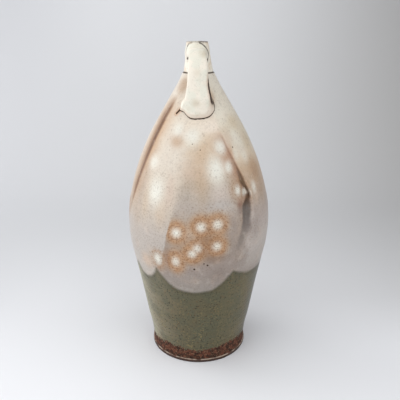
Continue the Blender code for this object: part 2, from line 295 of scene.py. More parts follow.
def raise_surface(height, distance, below=None):
    """Bump the surface by a height, over what bumps it already."""
    feeds = {"Height": height, "Distance": distance}
    if below is not None:
        feeds["Normal"] = below
    return put(height.id_data, "Bump", feeds).outputs["Normal"]


def bare_clay_colour(tree):
    """Red-brown clay with dark patches and pale grains of ash."""
    return lay_clouds(tree, CLAY_RED, CLAY_CLOUDS)


def clay_material():
    material, tree, shader = new_material("bare_red_clay")
    down = reckon("SUBTRACT", BASE_THICKNESS, axes(tree)["Z"])
    colour = lay_over(bare_clay_colour(tree), CLAY_DARK, fade(down, *CLAY_SIDE_SPAN), 0.8)
    worn = blotches(tree, 0.006, 3.0, 0.36, 0.56)
    # The upper edge: worn pale, with a painted highlight along its rounding
    colour = lay_over(colour, CLAY_WORN_EDGE_HIGHLIGHT, fade(down, *CLAY_WORN_HIGHLIGHT_SPAN), worn)
    rough = reckon("MULTIPLY_ADD", mottle(tree, 0.002), 0.2, 0.62)
    normal = raise_surface(mottle(tree, 0.0009), 0.0002)
    feed(shader, {"Base Color": colour, "Roughness": rough, "Normal": normal})
    return material


def spin_outline(outline, steps, closed=False):
    """Spin a half section of (radius, height) points all the way round the axis."""
    bm = bmesh.new()
    corners = [bm.verts.new((0, -radius, height)) for radius, height in outline]
    sides = [bm.edges.new(pair) for pair in zip(corners, corners[1:])]
    if closed:
        sides.append(bm.edges.new((corners[-1], corners[0])))
    bmesh.ops.spin(
        bm, geom=corners + sides, cent=(0, 0, 0), axis=(0, 0, 1),
        angle=2 * pi, steps=steps, use_merge=True, use_duplicate=False,
    )
    bmesh.ops.remove_doubles(bm, verts=bm.verts, dist=1e-6)
    bmesh.ops.recalc_face_normals(bm, faces=bm.faces)
    return bm


def soften_edges(bm, edges, rounding):
    bmesh.ops.bevel(
        bm, geom=edges, offset=rounding, segments=EDGE_SEGMENTS, profile=0.5, affect="EDGES",
        material=-1,
    )


def ring_edges(bm, height, radius):
    """The edges that lie along one ring of a spun shape."""
    near = {
        v for v in bm.verts if abs(v.co.z - height) < 1e-5 and abs(v.co.xy.length - radius) < 1e-4
    }
    return [edge for edge in bm.edges if near.issuperset(edge.verts)]


def make_base_slab():
    foot_inner = BASE_RADIUS - BASE_EDGE_ROUNDING - FOOT_RING_WIDTH
    outline = (
        (0, FOOT_RECESS), (foot_inner - FOOT_RECESS, FOOT_RECESS), (foot_inner, 0),
        (BASE_RADIUS, 0), (BASE_RADIUS, BASE_THICKNESS), (0, BASE_THICKNESS),
    )
    bm = spin_outline(outline, BASE_STEPS)
    edges = ring_edges(bm, 0, BASE_RADIUS) + ring_edges(bm, BASE_THICKNESS, BASE_RADIUS)
    soften_edges(bm, edges, BASE_EDGE_ROUNDING)
    for vertex in bm.verts:
        reach = hypot(vertex.co.x, vertex.co.y)
        if reach > foot_inner + FOOT_RING_WIDTH / 2:
            wave = noise.noise(vertex.co * BASE_WAVES_PER_METRE) - 1
            shrink = 1 + wave * BASE_UNEVENNESS / reach
            vertex.co.x *= shrink
            vertex.co.y *= shrink
    piece = place_piece("bare_base", bm, clay_material())
    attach(piece, "root")
    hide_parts("base_slab")


make_base_slab()


# The body wall: thrown stoneware, swelling from the foot to the belly and drawn in to the neck.
# The shoulder was cut and lapped in four folds. Ash-green glaze covers it, and pale glaze was
# poured over that in lobes, each with its own scalloped edge.
WALL_FOOT_RADIUS = 0.0596
BELLY_RADIUS = 0.0858
BELLY_HEIGHT = 0.172
SEAM_HEIGHT = 0.347
SHOULDER_TOP_RADIUS = 0.0177
WALL_THICKNESS = 0.005
SEAM_CLEARANCE = 0.0003
WALL_BOTTOM = BASE_THICKNESS + SEAM_CLEARANCE
WALL_TOP = SEAM_HEIGHT - SEAM_CLEARANCE / 2
WALL_ROWS = 200
LINING_ROWS = 14
WALL_COLUMNS = 440
COLUMN_GATHER = 0.60
SWELL_HEIGHT_SHARES = (0.0, 0.042, 0.133, 0.246, 0.541, 0.70, 0.881)
SWELL_SHARES = (0.0, -0.010, 0.050, 0.203, 0.540, 0.743, 0.957)
DRAW_IN_HEIGHT_SHARES = (0.0, 0.10, 0.233, 0.407, 0.581, 0.711, 0.841, 0.928, 1.0)
DRAW_IN_SHARES = (0.0, 0.012, 0.078, 0.210, 0.396, 0.575, 0.771, 0.906, 1.0)
FOLD_DEPTH = 0.0052
FOLD_LIP = 0.0016
FOLD_DIP_WIDTH = 0.0135
FOLD_DIP_FALLOFF = 1.5
FOLD_LIP_RUN = 0.0021
FOLD_LIP_WIDTH = 0.011
FOLD_SOFT_RUN = 0.012
LONG_FOLD_SHARES = (0.45, 0.527, 0.577, 0.615, 0.688, 0.755, 0.869, 0.95)
LONG_FOLD_TURNS = (-14.0, -11.5, -8.1, -5.7, -2.2, 0.4, 3.3, 6.5)
LONG_FOLD_DEPTHS = (0.0, 0.25, 0.48, 0.63, 0.77, 0.82, 0.70, 0.0)
LONG_FOLD_SHARPNESS = (0.0, 0.6, 1.0, 1.0, 1.0, 1.0, 1.0, 0.7)
SHORT_FOLD_SHARES = (0.40, 0.466, 0.506, 0.577, 0.622, 0.664, 0.708, 0.796, 0.84)
SHORT_FOLD_TURNS = (-2.5, 0.4, 3.4, 8.0, 10.6, 7.7, 3.2, -5.2, -9.5)
SHORT_FOLD_DEPTHS = (0.0, 0.30, 0.68, 1.16, 1.18, 0.96, 0.70, 0.36, 0.0)
SHORT_FOLD_SHARPNESS = (0.0, 0.0, 0.1, 0.55, 1.0, 1.0, 1.0, 1.0, 0.8)
LEFT_FOLD, RIGHT_FOLD = 0, 1
FOLD_ANGLES = (-63.5, 35.5, 122.5, 209.5)

# Each poured lobe's angle, the height of its lowest point, and half the angle that it covers
POUR_LOBES = (
    (-3.5, 0.107, 33.0), (60.0, 0.1225, 31.5), (112.0, 0.112, 26.0),
    (158.0, 0.120, 24.0), (203.0, 0.108, 28.0), (250.0, 0.118, 24.0),
    (285.0, 0.124, 16.0), (308.5, 0.1165, 14.5),
)
POUR_CUSP_HEIGHT = 0.134
POUR_SCALLOP = 2.65

# The left pour lies over the middle one: the heights and angles of its edge, and how softly it ends
LEFT_POUR_HEIGHTS = (0.1333, 0.140, 0.154, 0.167, 0.1795, 0.191, 0.2026, 0.230, 0.347)
LEFT_POUR_ANGLES = (-37.4, -30.9, -28.1, -25.9, -24.4, -22.3, -20.0, -14.5, -12.0)
LEFT_POUR_SOFT_HEIGHTS = (0.185, 0.205, 0.225, 0.347)
LEFT_POUR_SOFTNESS = (1.0, 4.0, 11.0, 11.0)
LEFT_POUR_BACK_END = -162.0
LEFT_POUR_BACK_SOFTNESS = 12.0
LEFT_POUR_EDGE_SOFTNESS = 0.0015
LEFT_POUR_HIDES_ABOVE = 0.162
LEFT_POUR_HIDES_SOFTNESS = 0.008

# The pale glaze's colour by height in mm: in front, on the left pour, and right of the right fold
FRONT_TONES = (
    (107, 151, 144, 137), (140, 153, 141, 133), (165, 158, 145, 134), (190, 170, 157, 144),
    (212, 178, 167, 157), (224, 177, 166, 154), (236, 184, 169, 152), (248, 200, 180, 160),
    (262, 206, 188, 168), (276, 212, 194, 171), (290, 224, 208, 188), (306, 231, 219, 202),
    (347, 234, 226, 208),
)
LEFT_TONES = (
    (115, 183, 175, 166), (150, 184, 176, 168), (176, 187, 178, 170), (200, 196, 184, 170),
    (215, 204, 191, 176), (235, 210, 198, 182), (255, 217, 207, 193), (275, 218, 208, 194),
    (300, 216, 205, 190), (347, 220, 211, 198),
)
RIGHT_TONES = (
    (122, 150, 139, 131), (138, 170, 161, 153), (155, 182, 173, 166), (170, 187, 177, 169),
    (188, 180, 168, 161), (203, 176, 162, 152), (214, 181, 163, 147), (228, 191, 168, 146),
    (246, 194, 169, 143), (254, 206, 186, 162), (262, 216, 202, 182), (275, 214, 205, 188),
    (290, 213, 201, 180), (308, 219, 211, 195), (347, 219, 212, 198),
)
RIGHT_TONES_SOFTNESS = 0.0015
RIGHT_TONES_END = 0.13
RIGHT_TONES_FADE = 0.04

# Flushes where the glaze changes, a few of them partly painted shade: angle, then height, half
# width and half height in mm, strength and colour
FLUSHES = (
    (-24, 278.5, 8, 6.5, 0.7, 190, 160, 134), (-30, 296, 10, 9, 0.5, 226, 216, 200),
    (-57, 224, 11, 42, 0.9, 178, 163, 148), (-54, 272, 8, 22, 0.5, 200, 184, 164),
    (-47, 214, 6, 20, 0.5, 196, 176, 152), (-30.5, 206, 7, 20, 0.5, 206, 186, 164),
    (-24, 228, 6, 16, 0.5, 206, 184, 168), (3.5, 246, 9, 32, 0.45, 196, 168, 138),
    (19, 226, 13, 11, 0.75, 204, 191, 181), (17, 210, 14, 9, 0.7, 184, 179, 175),
    (25, 190, 12, 15, 0.7, 158, 145, 137), (28, 166, 14, 18, 0.7, 153, 141, 132),
    (16, 130, 12, 12, 0.6, 136, 124, 116), (36, 148, 10, 18, 0.6, 142, 131, 123),
    (48, 180, 12, 16, 0.7, 158, 147, 140), (33, 268, 5, 10, 0.6, 188, 148, 116),
    # The flushes at 36 and 36.5 degrees are brown glaze with painted shade in the right fold's dip
    (25, 259, 7, 6, 0.85, 186, 150, 122), (36, 211, 5.5, 5.5, 0.85, 130, 98, 83),
    (36.5, 203, 6, 5, 0.6, 134, 121, 115), (10, 266, 12, 12, 0.5, 202, 174, 145),
    (66, 225, 9, 18, 0.5, 172, 150, 130), (68, 271, 10, 12, 0.5, 196, 174, 142),
    (14, 293, 14, 7, 0.6, 234, 224, 211), (34, 305, 10, 11, 0.6, 228, 222, 207),
    (33, 281, 7, 9, 0.6, 206, 186, 166), (62, 243, 11, 12, 0.8, 178, 148, 121),
    (-46, 140, 10, 10, 0.6, 208, 180, 156), (46, 226, 5, 10, 0.6, 190, 163, 137),
    (54, 214, 6, 8, 0.7, 198, 178, 160), (55, 296, 8, 6, 0.6, 204, 188, 162),
    # The flush at -45 degrees beside the strap is brown glaze with the strap's painted shadow
    (50, 272, 6, 12, 0.5, 222, 216, 202), (-45, 334, 8, 9, 0.95, 180, 157, 134),
    (25, 323, 5, 8, 0.8, 198, 172, 146), (140, 262, 24, 30, 0.7, 206, 184, 158),
    (178, 240, 20, 36, 0.7, 212, 190, 162), (205, 190, 26, 24, 0.6, 172, 162, 156),
    (262, 236, 20, 30, 0.7, 198, 172, 146), (98, 250, 16, 36, 0.6, 190, 176, 158),
)
PATCH_FALLOFF = 2.8

# Darker patches of the ground between the spots, with the same columns
GROUND_PATCHES = (
    (6, 170, 10, 17, 0.65, 146, 114, 88), (13, 153, 10, 6, 0.55, 130, 108, 92),
    (-24, 151, 3.5, 10, 0.7, 138, 108, 88),
)

# The iron brown and painted shade that lie in the long folds: height, reach to the left and
# strength, with a warmer flush round it
LONG_FOLD_BROWN_AND_SHADE = (109, 75, 50)
LONG_FOLD_RIGHT_REACH = 0.0068
LONG_FOLD_RIGHT_SOFTNESS = 0.0040
LONG_FOLD_WARM = (182, 130, 86)
LONG_FOLD_WARM_SHARE = 0.65
LONG_FOLD_WARM_MARGIN = 0.0045
LONG_FOLD_BANDS = (
    (0.185, 0.0105, 0.0), (0.200, 0.0105, 0.25), (0.210, 0.0105, 0.45),
    (0.220, 0.0105, 0.75), (0.240, 0.0100, 0.82), (0.260, 0.0108, 0.95),
    (0.270, 0.0105, 1.0), (0.280, 0.0095, 1.0), (0.290, 0.0098, 1.0),
    (0.300, 0.0095, 0.92), (0.3105, 0.0080, 0.78), (0.3155, 0.0070, 0.42),
    (0.320, 0.0060, 0.20), (0.324, 0.0060, 0.0),
)

# The short folds: a flush on their open side, and the shade in their hollow at each height in mm,
# with its left and right edge and how soft they are (in mm from the fold), its strength and colour
SHORT_FOLD_FLUSH = (178, 143, 120)
SHORT_FOLD_FLUSH_SHARE = 0.85
SHORT_FOLD_FLUSH_REACHES = (0.0115, 0.0016)
SHORT_FOLD_FLUSH_DEPTH = 0.45
SHORT_FOLD_SHADES = (
    (150, -8, 6, 2, 9, 0, 118, 110, 104), (165, -8, 6, 2, 9, 0.3, 118, 110, 104),
    (173.5, -7.5, 6, 5, 9, 0.55, 116, 108, 102), (182, -6.5, 6, 7, 8, 0.76, 116, 108, 103),
    (190, -5.5, 4, 4.9, 4, 0.95, 115, 107, 102), (197, -6.8, 3, 4.5, 1.8, 1, 114, 106, 100),
    (203.5, -8, 4, 3.9, 1.6, 1, 116, 108, 102), (208.5, -8.5, 6, 2.6, 1.2, 1, 100, 86, 76),
    (213.5, -0.5, 3, 1.4, 0.6, 1, 92, 71, 57), (220, 0.75, 0.5, 1.45, 0.5, 1, 66, 46, 34),
    (225, 0.5, 0.6, 1.45, 0.5, 1, 72, 52, 38), (233, -3.5, 5, 1.3, 0.5, 0.87, 99, 81, 61),
    (242, -0.2, 2, 1.45, 0.6, 0.8, 102, 80, 62), (250.5, 0.6, 1, 1.35, 0.6, 0.6, 122, 92, 72),
    (259.5, 0, 1.5, 1.1, 0.6, 0.5, 136, 102, 82), (268, -0.4, 1.2, 0.9, 0.8, 0.4, 140, 106, 84),
    (276.5, -0.4, 1, 0.8, 0.8, 0.35, 140, 106, 84), (284, -0.4, 1, 0.8, 0.8, 0, 140, 106, 84),
)

# Pale spots where the glaze was dabbed thick: angle, then height, half width and half height in mm,
# strength, and how much iron-brown halo and mottled ground surround them, whose reaches are in mm
SPOTS = (
    (-16.5, 183.7, 5.2, 5.6, 0.95, 1), (1.9, 191.4, 5, 5.2, 0.88, 1),
    (14.3, 193.4, 5.2, 5.4, 0.88, 0.9), (13.9, 168.3, 4.8, 5, 0.8, 1),
    (-1, 166.5, 4.6, 5, 0.82, 0.9), (-4.6, 160, 4.6, 4.8, 0.86, 1), (-17.5, 148.6, 4.4, 6, 0.82, 1),
    (-33.2, 147.4, 4.8, 6.6, 0.9, 0.55), (-25.7, 290.4, 6, 6, 0.75, 0),
    (-6.7, 283.9, 9.5, 9.5, 0.88, 0.1), (23.9, 272.3, 7.6, 7.8, 0.9, 0.15),
    (29.1, 251.4, 6, 6.2, 0.92, 0.25), (16.4, 250.4, 11, 15, 0.95, 0.1),
    (-46.6, 254.2, 6.8, 7.6, 0.75, 0.05), (-37, 224.4, 10.5, 15, 0.95, 0.25),
    (53.1, 225.2, 4.6, 6.6, 0.7, 0.3), (35.6, 225.8, 4.8, 5, 0.9, 0.35),
    (44.2, 221.4, 4.8, 4, 1, 0.3), (52, 259, 5, 6, 0.4, 0.05), (46, 283, 5, 7, 0.35, 0),
    (40, 264, 4, 6, 0.3, 0), (92, 202, 5, 6, 0.8, 0.45), (131, 186, 5.2, 5.4, 1, 1),
    (144, 195, 4.8, 5, 0.95, 1), (140, 166, 4.6, 5.2, 0.95, 1), (155, 173, 5, 4.8, 1, 1),
    (150, 149, 4.4, 5, 0.9, 0.9), (172, 245, 7, 12, 0.8, 0.25), (196, 226, 5.6, 7, 0.8, 0.35),
    (228, 206, 6, 9, 0.9, 0.35), (246, 252, 5, 6, 0.7, 0.25), (262, 176, 5, 5.2, 0.95, 0.9),
    (273, 189, 4.6, 5, 0.9, 0.9),
)
SPOT_FALLOFF = 2.4
HALO_DISTANCE = 3.6
HALO_WIDTH = 3.4
GROUND_REACH = 9.2
GROUND_FALLOFF = 3
GROUND_LEAST_HALO = 0.3
GROUND_LEFT_END = -45.0
GROUND_LEFT_SOFTNESS = 15
GROUND_LOW_END = 0.165
GROUND_LOW_SOFTNESS = 0.010
GROUND_TAN = (182, 146, 113)
SPOT_CREAM = glaze_colour(230, 228, 217)
HALO_RUST = glaze_colour(150, 108, 74)
HALO_TAN = glaze_colour(182, 142, 106)

# Pits that burst in the glaze: angle, height and reach
PINHOLES = (
    (-3.2, 0.1402, 0.0016), (4.2, 0.1475, 0.0011), (6.9, 0.1453, 0.0014),
    (38.3, 0.2711, 0.0010), (1.9, 0.2709, 0.0008), (-6.6, 0.2766, 0.0007),
)
SPECK_BROWN = glaze_colour(108, 80, 58)
POUR_CLOUDS = (
    (0.013, 4.0, 0.50, 0.74, 0.22, glaze_colour(206, 184, 166)),
    (0.009, 4.0, 0.54, 0.74, 0.12, glaze_colour(230, 223, 210)),
    (0.0055, 4.0, 0.52, 0.74, 0.16, glaze_colour(142, 130, 121)),
)
GRAIN_HIGH_SPAN = (0.265, 0.225)
UNDER_POUR_SPAN = (-0.0070, -0.0010)
GLAZE_SHINE = 0.16
THROWING_STRETCH = (1, 1, 7)
STREAK_STRETCH = (1, 1, 0.35)

# The glazes' edges: from where to where they fade, then the size and the amount of each waver
POUR_SPAN = (-0.0024, 0.0026)
POUR_WAVERS = ((0.012, 0.0034), (0.0020, 0.0018))
LEFT_POUR_EDGE = ((-0.0008, 0.0010), (0.006, 0.0012))
BARE_EDGE = ((-0.0012, 0.0012), (0.009, 0.0080), (0.0018, 0.0130))

# The ash-green glaze under the pours, with painted light in its tone by angle (a painted sheen on
# the left, painted shade on the right), and how far down it runs over the bare clay
GREEN_LIT_TONES = (
    (-180, 98, 93, 75), (-90, 118, 113, 91), (-75, 146, 141, 112), (-65, 152, 147, 120),
    (-55, 136, 128, 106), (-45, 122, 115, 93), (-35, 112, 106, 86), (-25, 105, 98, 78),
    (-15, 96, 90, 70), (-5, 94, 89, 69), (15, 91, 86, 66), (25, 95, 91, 70),
    (35, 99, 93, 71), (45, 102, 95, 71), (55, 101, 93, 69), (65, 78, 73, 53),
    (75, 70, 66, 47), (90, 84, 79, 60), (180, 98, 93, 75),
)
GREEN_GREY_CLOUDS = ((0.020, 4.0, 0.42, 0.62, 0.5, glaze_colour(84, 87, 71)),)
GREEN_GOLD = glaze_colour(132, 118, 82)
GREEN_RUST = glaze_colour(106, 76, 50)
GREEN_INK = glaze_colour(50, 47, 38)
GREEN_LOW_SPAN = (0.105, 0.035)
GREEN_INK_CLOUDS = ((0.0022, 1.0, 0.59, 0.70, 0.75, GREEN_INK),)
GREEN_END_ANGLES = (-180, -130, -90, -60, -40, -25, -10, 5, 20, 35, 55, 80, 120, 180)
GREEN_END_HEIGHTS = (
    0.019, 0.022, 0.018, 0.0165, 0.0215, 0.0200, 0.0175, 0.0165, 0.0185, 0.0225, 0.0210, 0.018,
    0.021, 0.019,
)

# The tongue of the handle as it lies on the shoulder: directions from its middle, round from
# straight down towards +X, with the outline's reach and how dark the join is there
TONGUE_MIDDLE = 0.3155
TONGUE_SHIFT = -0.0015
TONGUE_DIRECTIONS = (
    -180, -140, -129, -115, -102, -92, -82, -76, -73, -69, -64, -56, -41, -27, -14, 4, 21, 37, 50,
    63, 72, 81, 90, 103, 132, 180,
)
TONGUE_REACHES = (
    0.0135, 0.0170, 0.0158, 0.0158, 0.0175, 0.0190, 0.0190, 0.0196, 0.0202, 0.0178, 0.0163, 0.0156,
    0.0153, 0.0148, 0.0141, 0.0135, 0.0142, 0.0158, 0.0176, 0.0189, 0.0196, 0.0195, 0.0186, 0.0180,
    0.0180, 0.0135,
)
TONGUE_JOINS = (
    0, 0, 0, 0, 0, 0.05, 0.25, 0.85, 1, 1, 0.95, 0.9, 0.9, 1, 1, 1, 1, 1, 1, 1, 1, 1, 1, 0.9, 0.5,
    0,
)
TONGUE_STEPS = 721
NEAR_TONGUE_ACROSS = 0.045
NEAR_TONGUE_HEIGHT = 0.285
NO_JOIN = 0.02
JOIN_FADE = 0.004
JOIN_DARK = glaze_colour(58, 36, 16)
JOIN_LINE = ((0.0016, 0.0007), (0.0022, 0.0009))
SEAM_LINE = ((0.0012, 0.0004), (0.003, 0.0006))
SEAM_STRENGTH = 0.85

# The join's tail, scratched on past the tongue's left corner, as angles and heights
TONGUE_TAIL = ((-31.0, 0.3096), (-33.2, 0.3078), (-35.4, 0.3058))
TAIL_RUST = glaze_colour(190, 142, 104)
TAIL_SPAN = (0.0050, 0.0008)


def smooth_curve(places, values):
    """A smooth curve through the given places, which never overshoots between them."""
    places = np.array(places)
    values = np.array(values)
    steps = np.diff(places)
    rises = np.diff(values) / steps
    before, after = rises[:-1], rises[1:]
    same_way = before * after > 0
    middle = np.where(same_way, 2 * before * after / np.where(same_way, before + after, 1), 0)
    slopes = np.concatenate([rises[:1], middle, rises[-1:]])

    def read(at):
        at = np.clip(at, places[0], places[-1])
        i = np.clip(np.searchsorted(places, at) - 1, 0, len(steps) - 1)
        t = (at - places[i]) / steps[i]
        start = values[i] * (1 + 2 * t) * (1 - t) ** 2 + slopes[i] * steps[i] * t * (1 - t) ** 2
        end = values[i + 1] * t * t * (3 - 2 * t) - slopes[i + 1] * steps[i] * t * t * (1 - t)
        return start + end

    return read


def smooth_step(t):
    t = np.clip(t, 0.0, 1.0)
    return t * t * (3 - 2 * t)


def past_edge(distance, softness):
    """0 before a soft edge and 1 past it."""
    return smooth_step(distance / softness + 0.5)


def bell(reach, falloff=2):
    """1 in the middle, fading out on both sides."""
    return np.exp(-(np.abs(reach) ** falloff))


wall_radius = smooth_curve(
    (
        *(WALL_BOTTOM + share * (BELLY_HEIGHT - WALL_BOTTOM) for share in SWELL_HEIGHT_SHARES),
        *(BELLY_HEIGHT + share * (WALL_TOP - BELLY_HEIGHT) for share in DRAW_IN_HEIGHT_SHARES),
    ),
    (
        *(WALL_FOOT_RADIUS + share * (BELLY_RADIUS - WALL_FOOT_RADIUS) for share in SWELL_SHARES),
        *(BELLY_RADIUS - share * (BELLY_RADIUS - SHOULDER_TOP_RADIUS) for share in DRAW_IN_SHARES),
    ),
)
long_fold = [
    smooth_curve(LONG_FOLD_SHARES, values)
    for values in (LONG_FOLD_TURNS, LONG_FOLD_DEPTHS, LONG_FOLD_SHARPNESS)
]
short_fold = [
    smooth_curve(SHORT_FOLD_SHARES, values)
    for values in (SHORT_FOLD_TURNS, SHORT_FOLD_DEPTHS, SHORT_FOLD_SHARPNESS)
]


def folds_at(height):
    """Each fold's line, depth and sharpness at a height."""
    share = (height - WALL_BOTTOM) / (WALL_TOP - WALL_BOTTOM)
    return [
        (np.radians(angle + turn(share)), FOLD_DEPTH * depth(share), sharp(share))
        for angle, (turn, depth, sharp) in zip(FOLD_ANGLES, (long_fold, short_fold) * 2)
    ]


def arc_from(line, angle, height):
    """Signed distance round the wall from a line, positive to its right."""
    return ((angle - line + pi) % (2 * pi) - pi) * wall_radius(height)


def fold_dip(arc, depth):
    return -depth * bell(arc / FOLD_DIP_WIDTH, FOLD_DIP_FALLOFF)


def fold_relief(angle, height):
    """How far the folds move the outside of the wall in or out."""
    relief = 0.0
    for line, depth, sharp in folds_at(height):
        arc = arc_from(line, angle, height)
        run = FOLD_SOFT_RUN + (FOLD_LIP_RUN - FOLD_SOFT_RUN) * sharp
        rise = smooth_step(arc / run)
        lip = FOLD_LIP * sharp * depth / FOLD_DEPTH * np.exp(-np.abs(arc) / FOLD_LIP_WIDTH)
        relief = relief + np.where(arc <= 0, fold_dip(arc, depth), -depth * (1 - rise) + lip * rise)
    return relief


def lining_relief(angle, height):
    """How far the folds push the inside of the wall in."""
    relief = 0.0
    for line, depth, sharp in folds_at(height):
        relief = relief + fold_dip(arc_from(line, angle, height), depth)
    return relief


def column_angle(turn, height):
    """Where an evenly spaced column goes: close beside each fold's line, wide between them."""
    lines = [fold[0] for fold in folds_at(height)]
    lines = np.stack([*lines, lines[0] + 2 * pi])
    quarter = np.minimum((turn / (pi / 2)).astype(int), 3)
    along = turn / (pi / 2) - quarter
    along -= COLUMN_GATHER * np.sin(2 * pi * along) / (2 * pi)
    column = np.arange(len(turn))
    return lines[quarter, column] + along * (lines[quarter + 1, column] - lines[quarter, column])


def spread(start, end, count):
    """Evenly spaced values from start to end, both included."""
    return [start + (end - start) * i / (count - 1) for i in range(count)]


def vertex_places(mesh):
    places = np.empty(len(mesh.vertices) * 3)
    mesh.vertices.foreach_get("co", places)
    return places.reshape(-1, 3)


def lap_folds(mesh):
    """Gather the spun columns at the folds, lap the folds, and return angles and heights."""
    x, y, height = vertex_places(mesh).T
    reach = np.hypot(x, y)
    turn = (np.arctan2(x, -y) + 1e-4) % (2 * pi) - 1e-4
    angle = column_angle(np.maximum(turn, 0), height)
    outside = reach > wall_radius(height) - WALL_THICKNESS / 2
    reach = reach + np.where(outside, fold_relief(angle, height), lining_relief(angle, height))
    places = np.stack([reach * np.sin(angle), -reach * np.cos(angle), height], 1)
    mesh.vertices.foreach_set("co", places.ravel())
    mesh.update()
    return angle, height


def mark_values(mesh, name, values):
    mark = mesh.attributes.new(name, "FLOAT", "POINT")
    mark.data.foreach_set("value", np.asarray(values, dtype=np.float32))


def mark_colours(mesh, name, steps):
    """Keep a colour at each vertex, given in steps of 0 to 255."""
    light = np.column_stack([as_light(steps), np.ones(len(steps))])
    mark = mesh.attributes.new(name, "FLOAT_COLOR", "POINT")
    mark.data.foreach_set("color", light.astype(np.float32).ravel())


def pour_edge(angle):
    """Height of the pours' scalloped edge at an angle."""
    edges = []
    for lobe, bottom, half in POUR_LOBES:
        away = np.abs((np.degrees(angle) - lobe + 180) % 360 - 180) / half
        edges.append(bottom + (POUR_CUSP_HEIGHT - bottom) * away**POUR_SCALLOP)
    return np.minimum.reduce(edges)


def above_pour_edge(angle, height):
    step = 0.002
    slope = (pour_edge(angle + step) - pour_edge(angle - step)) / (2 * step * wall_radius(height))
    return (height - pour_edge(angle)) / np.sqrt(1 + slope * slope)


def cover(under, colour, share):
    return under + (np.array(colour) - under) * np.asarray(share)[:, None]


def rows_at(rows, places):
    """The columns of a table, whose rows start with a height or an angle, read at each place."""
    starts, *columns = zip(*rows)
    return [np.interp(places, starts, column) for column in columns]


def tones_at(rows, places):
    return np.stack(rows_at(rows, places), 1)


def long_fold_brown_and_shade(arc, height):
    """How much iron brown and painted shade lie in a long fold, mostly on its open side."""
    left_reach, strength = rows_at(LONG_FOLD_BANDS, height)
    lip = past_edge(LONG_FOLD_RIGHT_REACH - arc, LONG_FOLD_RIGHT_SOFTNESS)
    return strength * np.where(arc > 0, lip, bell(arc / left_reach))


def short_fold_shade(arc, height):
    """How dark a short fold's hollow is, and its colour."""
    rows = rows_at(SHORT_FOLD_SHADES, 1000 * height)
    left, left_softness, right, right_softness, shade, *tone = rows
    arc_mm = 1000 * arc
    shade = shade * past_edge(arc_mm - left, left_softness)
    return shade * past_edge(right - arc_mm, right_softness), np.stack(tone, 1)


def flush_long_fold(colour, arc, height):
    """The iron brown and painted shade in a long fold, with a warmer flush round it."""
    left_reach, strength = rows_at(LONG_FOLD_BANDS, height)
    warm = LONG_FOLD_WARM_SHARE * strength * bell(arc / (left_reach + LONG_FOLD_WARM_MARGIN))
    colour = cover(colour, LONG_FOLD_WARM, warm)
    return cover(colour, LONG_FOLD_BROWN_AND_SHADE, long_fold_brown_and_shade(arc, height))


def flush_short_fold(colour, arc, height, strength):
    """A brown flush on a short fold's open side, and the shade in its hollow."""
    left_reach, right_reach = SHORT_FOLD_FLUSH_REACHES
    band = bell(arc / np.where(arc > 0, right_reach, left_reach))
    flush = SHORT_FOLD_FLUSH_SHARE * strength * band
    shade, tone = short_fold_shade(arc, height)
    return cover(cover(colour, SHORT_FOLD_FLUSH, flush), tone, shade)


def fold_darkness(angle, height):
    """How much iron brown and painted shade lie in the folds."""
    dark = []
    for i, (line, depth, sharp) in enumerate(folds_at(height)):
        arc = arc_from(line, angle, height)
        if i % 2 == LEFT_FOLD:
            dark.append(long_fold_brown_and_shade(arc, height))
        else:
            dark.append(short_fold_shade(arc, height)[0])
    return np.maximum.reduce(dark)


def from_spot(angle, height, turn, up, half_width, half_height):
    """Distance from a spot's middle as a share of its reach, and in mm past its edge."""
    across = 1000 * arc_from(radians(turn), angle, height)
    share = np.hypot(across / half_width, (1000 * height - up) / half_height)
    return share, (share - 1) * (half_width + half_height) / 2


def flush_patches(colour, angle, height, patches):
    for *place, strength, red, green, blue in patches:
        share, past = from_spot(angle, height, *place)
        colour = cover(colour, (red, green, blue), strength * bell(share, PATCH_FALLOFF))
    return colour


def pale_glaze_tones(angle, height, tones, ground):
    """Colour of the pale glaze: its change with height, the flushes, the folds and the ground."""
    folds = folds_at(height)
    line, depth, sharp = folds[RIGHT_FOLD]
    arc = arc_from(line, angle, height)
    right = past_edge(arc, RIGHT_TONES_SOFTNESS + FOLD_SOFT_RUN * (1 - sharp))
    right = right * smooth_step((RIGHT_TONES_END - arc) / RIGHT_TONES_FADE)
    colour = cover(tones_at(tones, 1000 * height), tones_at(RIGHT_TONES, 1000 * height), right)
    colour = flush_patches(colour, angle, height, FLUSHES)
    for i, (line, depth, sharp) in enumerate(folds):
        arc = arc_from(line, angle, height)
        if i % 2 == LEFT_FOLD:
            colour = flush_long_fold(colour, arc, height)
        else:
            strength = smooth_step(depth / FOLD_DEPTH / SHORT_FOLD_FLUSH_DEPTH) * sharp
            colour = flush_short_fold(colour, arc, height, strength)
    return flush_patches(cover(colour, GROUND_TAN, ground), angle, height, GROUND_PATCHES)


def spot_marks(angle, height):
    """How much of the spots' pale cores, dark haloes and joining tan ground lies at each place."""
    core = np.zeros(len(angle))
    halo = np.zeros(len(angle))
    clear = np.ones(len(angle))
    for *spot, strength, dark in SPOTS:
        share, past = from_spot(angle, height, *spot)
        core = np.maximum(core, strength * bell(share, SPOT_FALLOFF))
        halo = np.maximum(halo, dark * bell((past - HALO_DISTANCE) / HALO_WIDTH))
        if dark > GROUND_LEAST_HALO:
            clear *= 1 - dark * bell(np.maximum(past, 0) / GROUND_REACH, GROUND_FALLOFF)
    return core, halo, 1 - clear


def tongue_outline(directions):
    """Points of the tongue's edge on the shoulder, as distance across the front and height."""
    reach = np.interp(directions, TONGUE_DIRECTIONS, TONGUE_REACHES)
    turn = np.radians(directions)
    return TONGUE_SHIFT + reach * np.sin(turn), TONGUE_MIDDLE - reach * np.cos(turn)


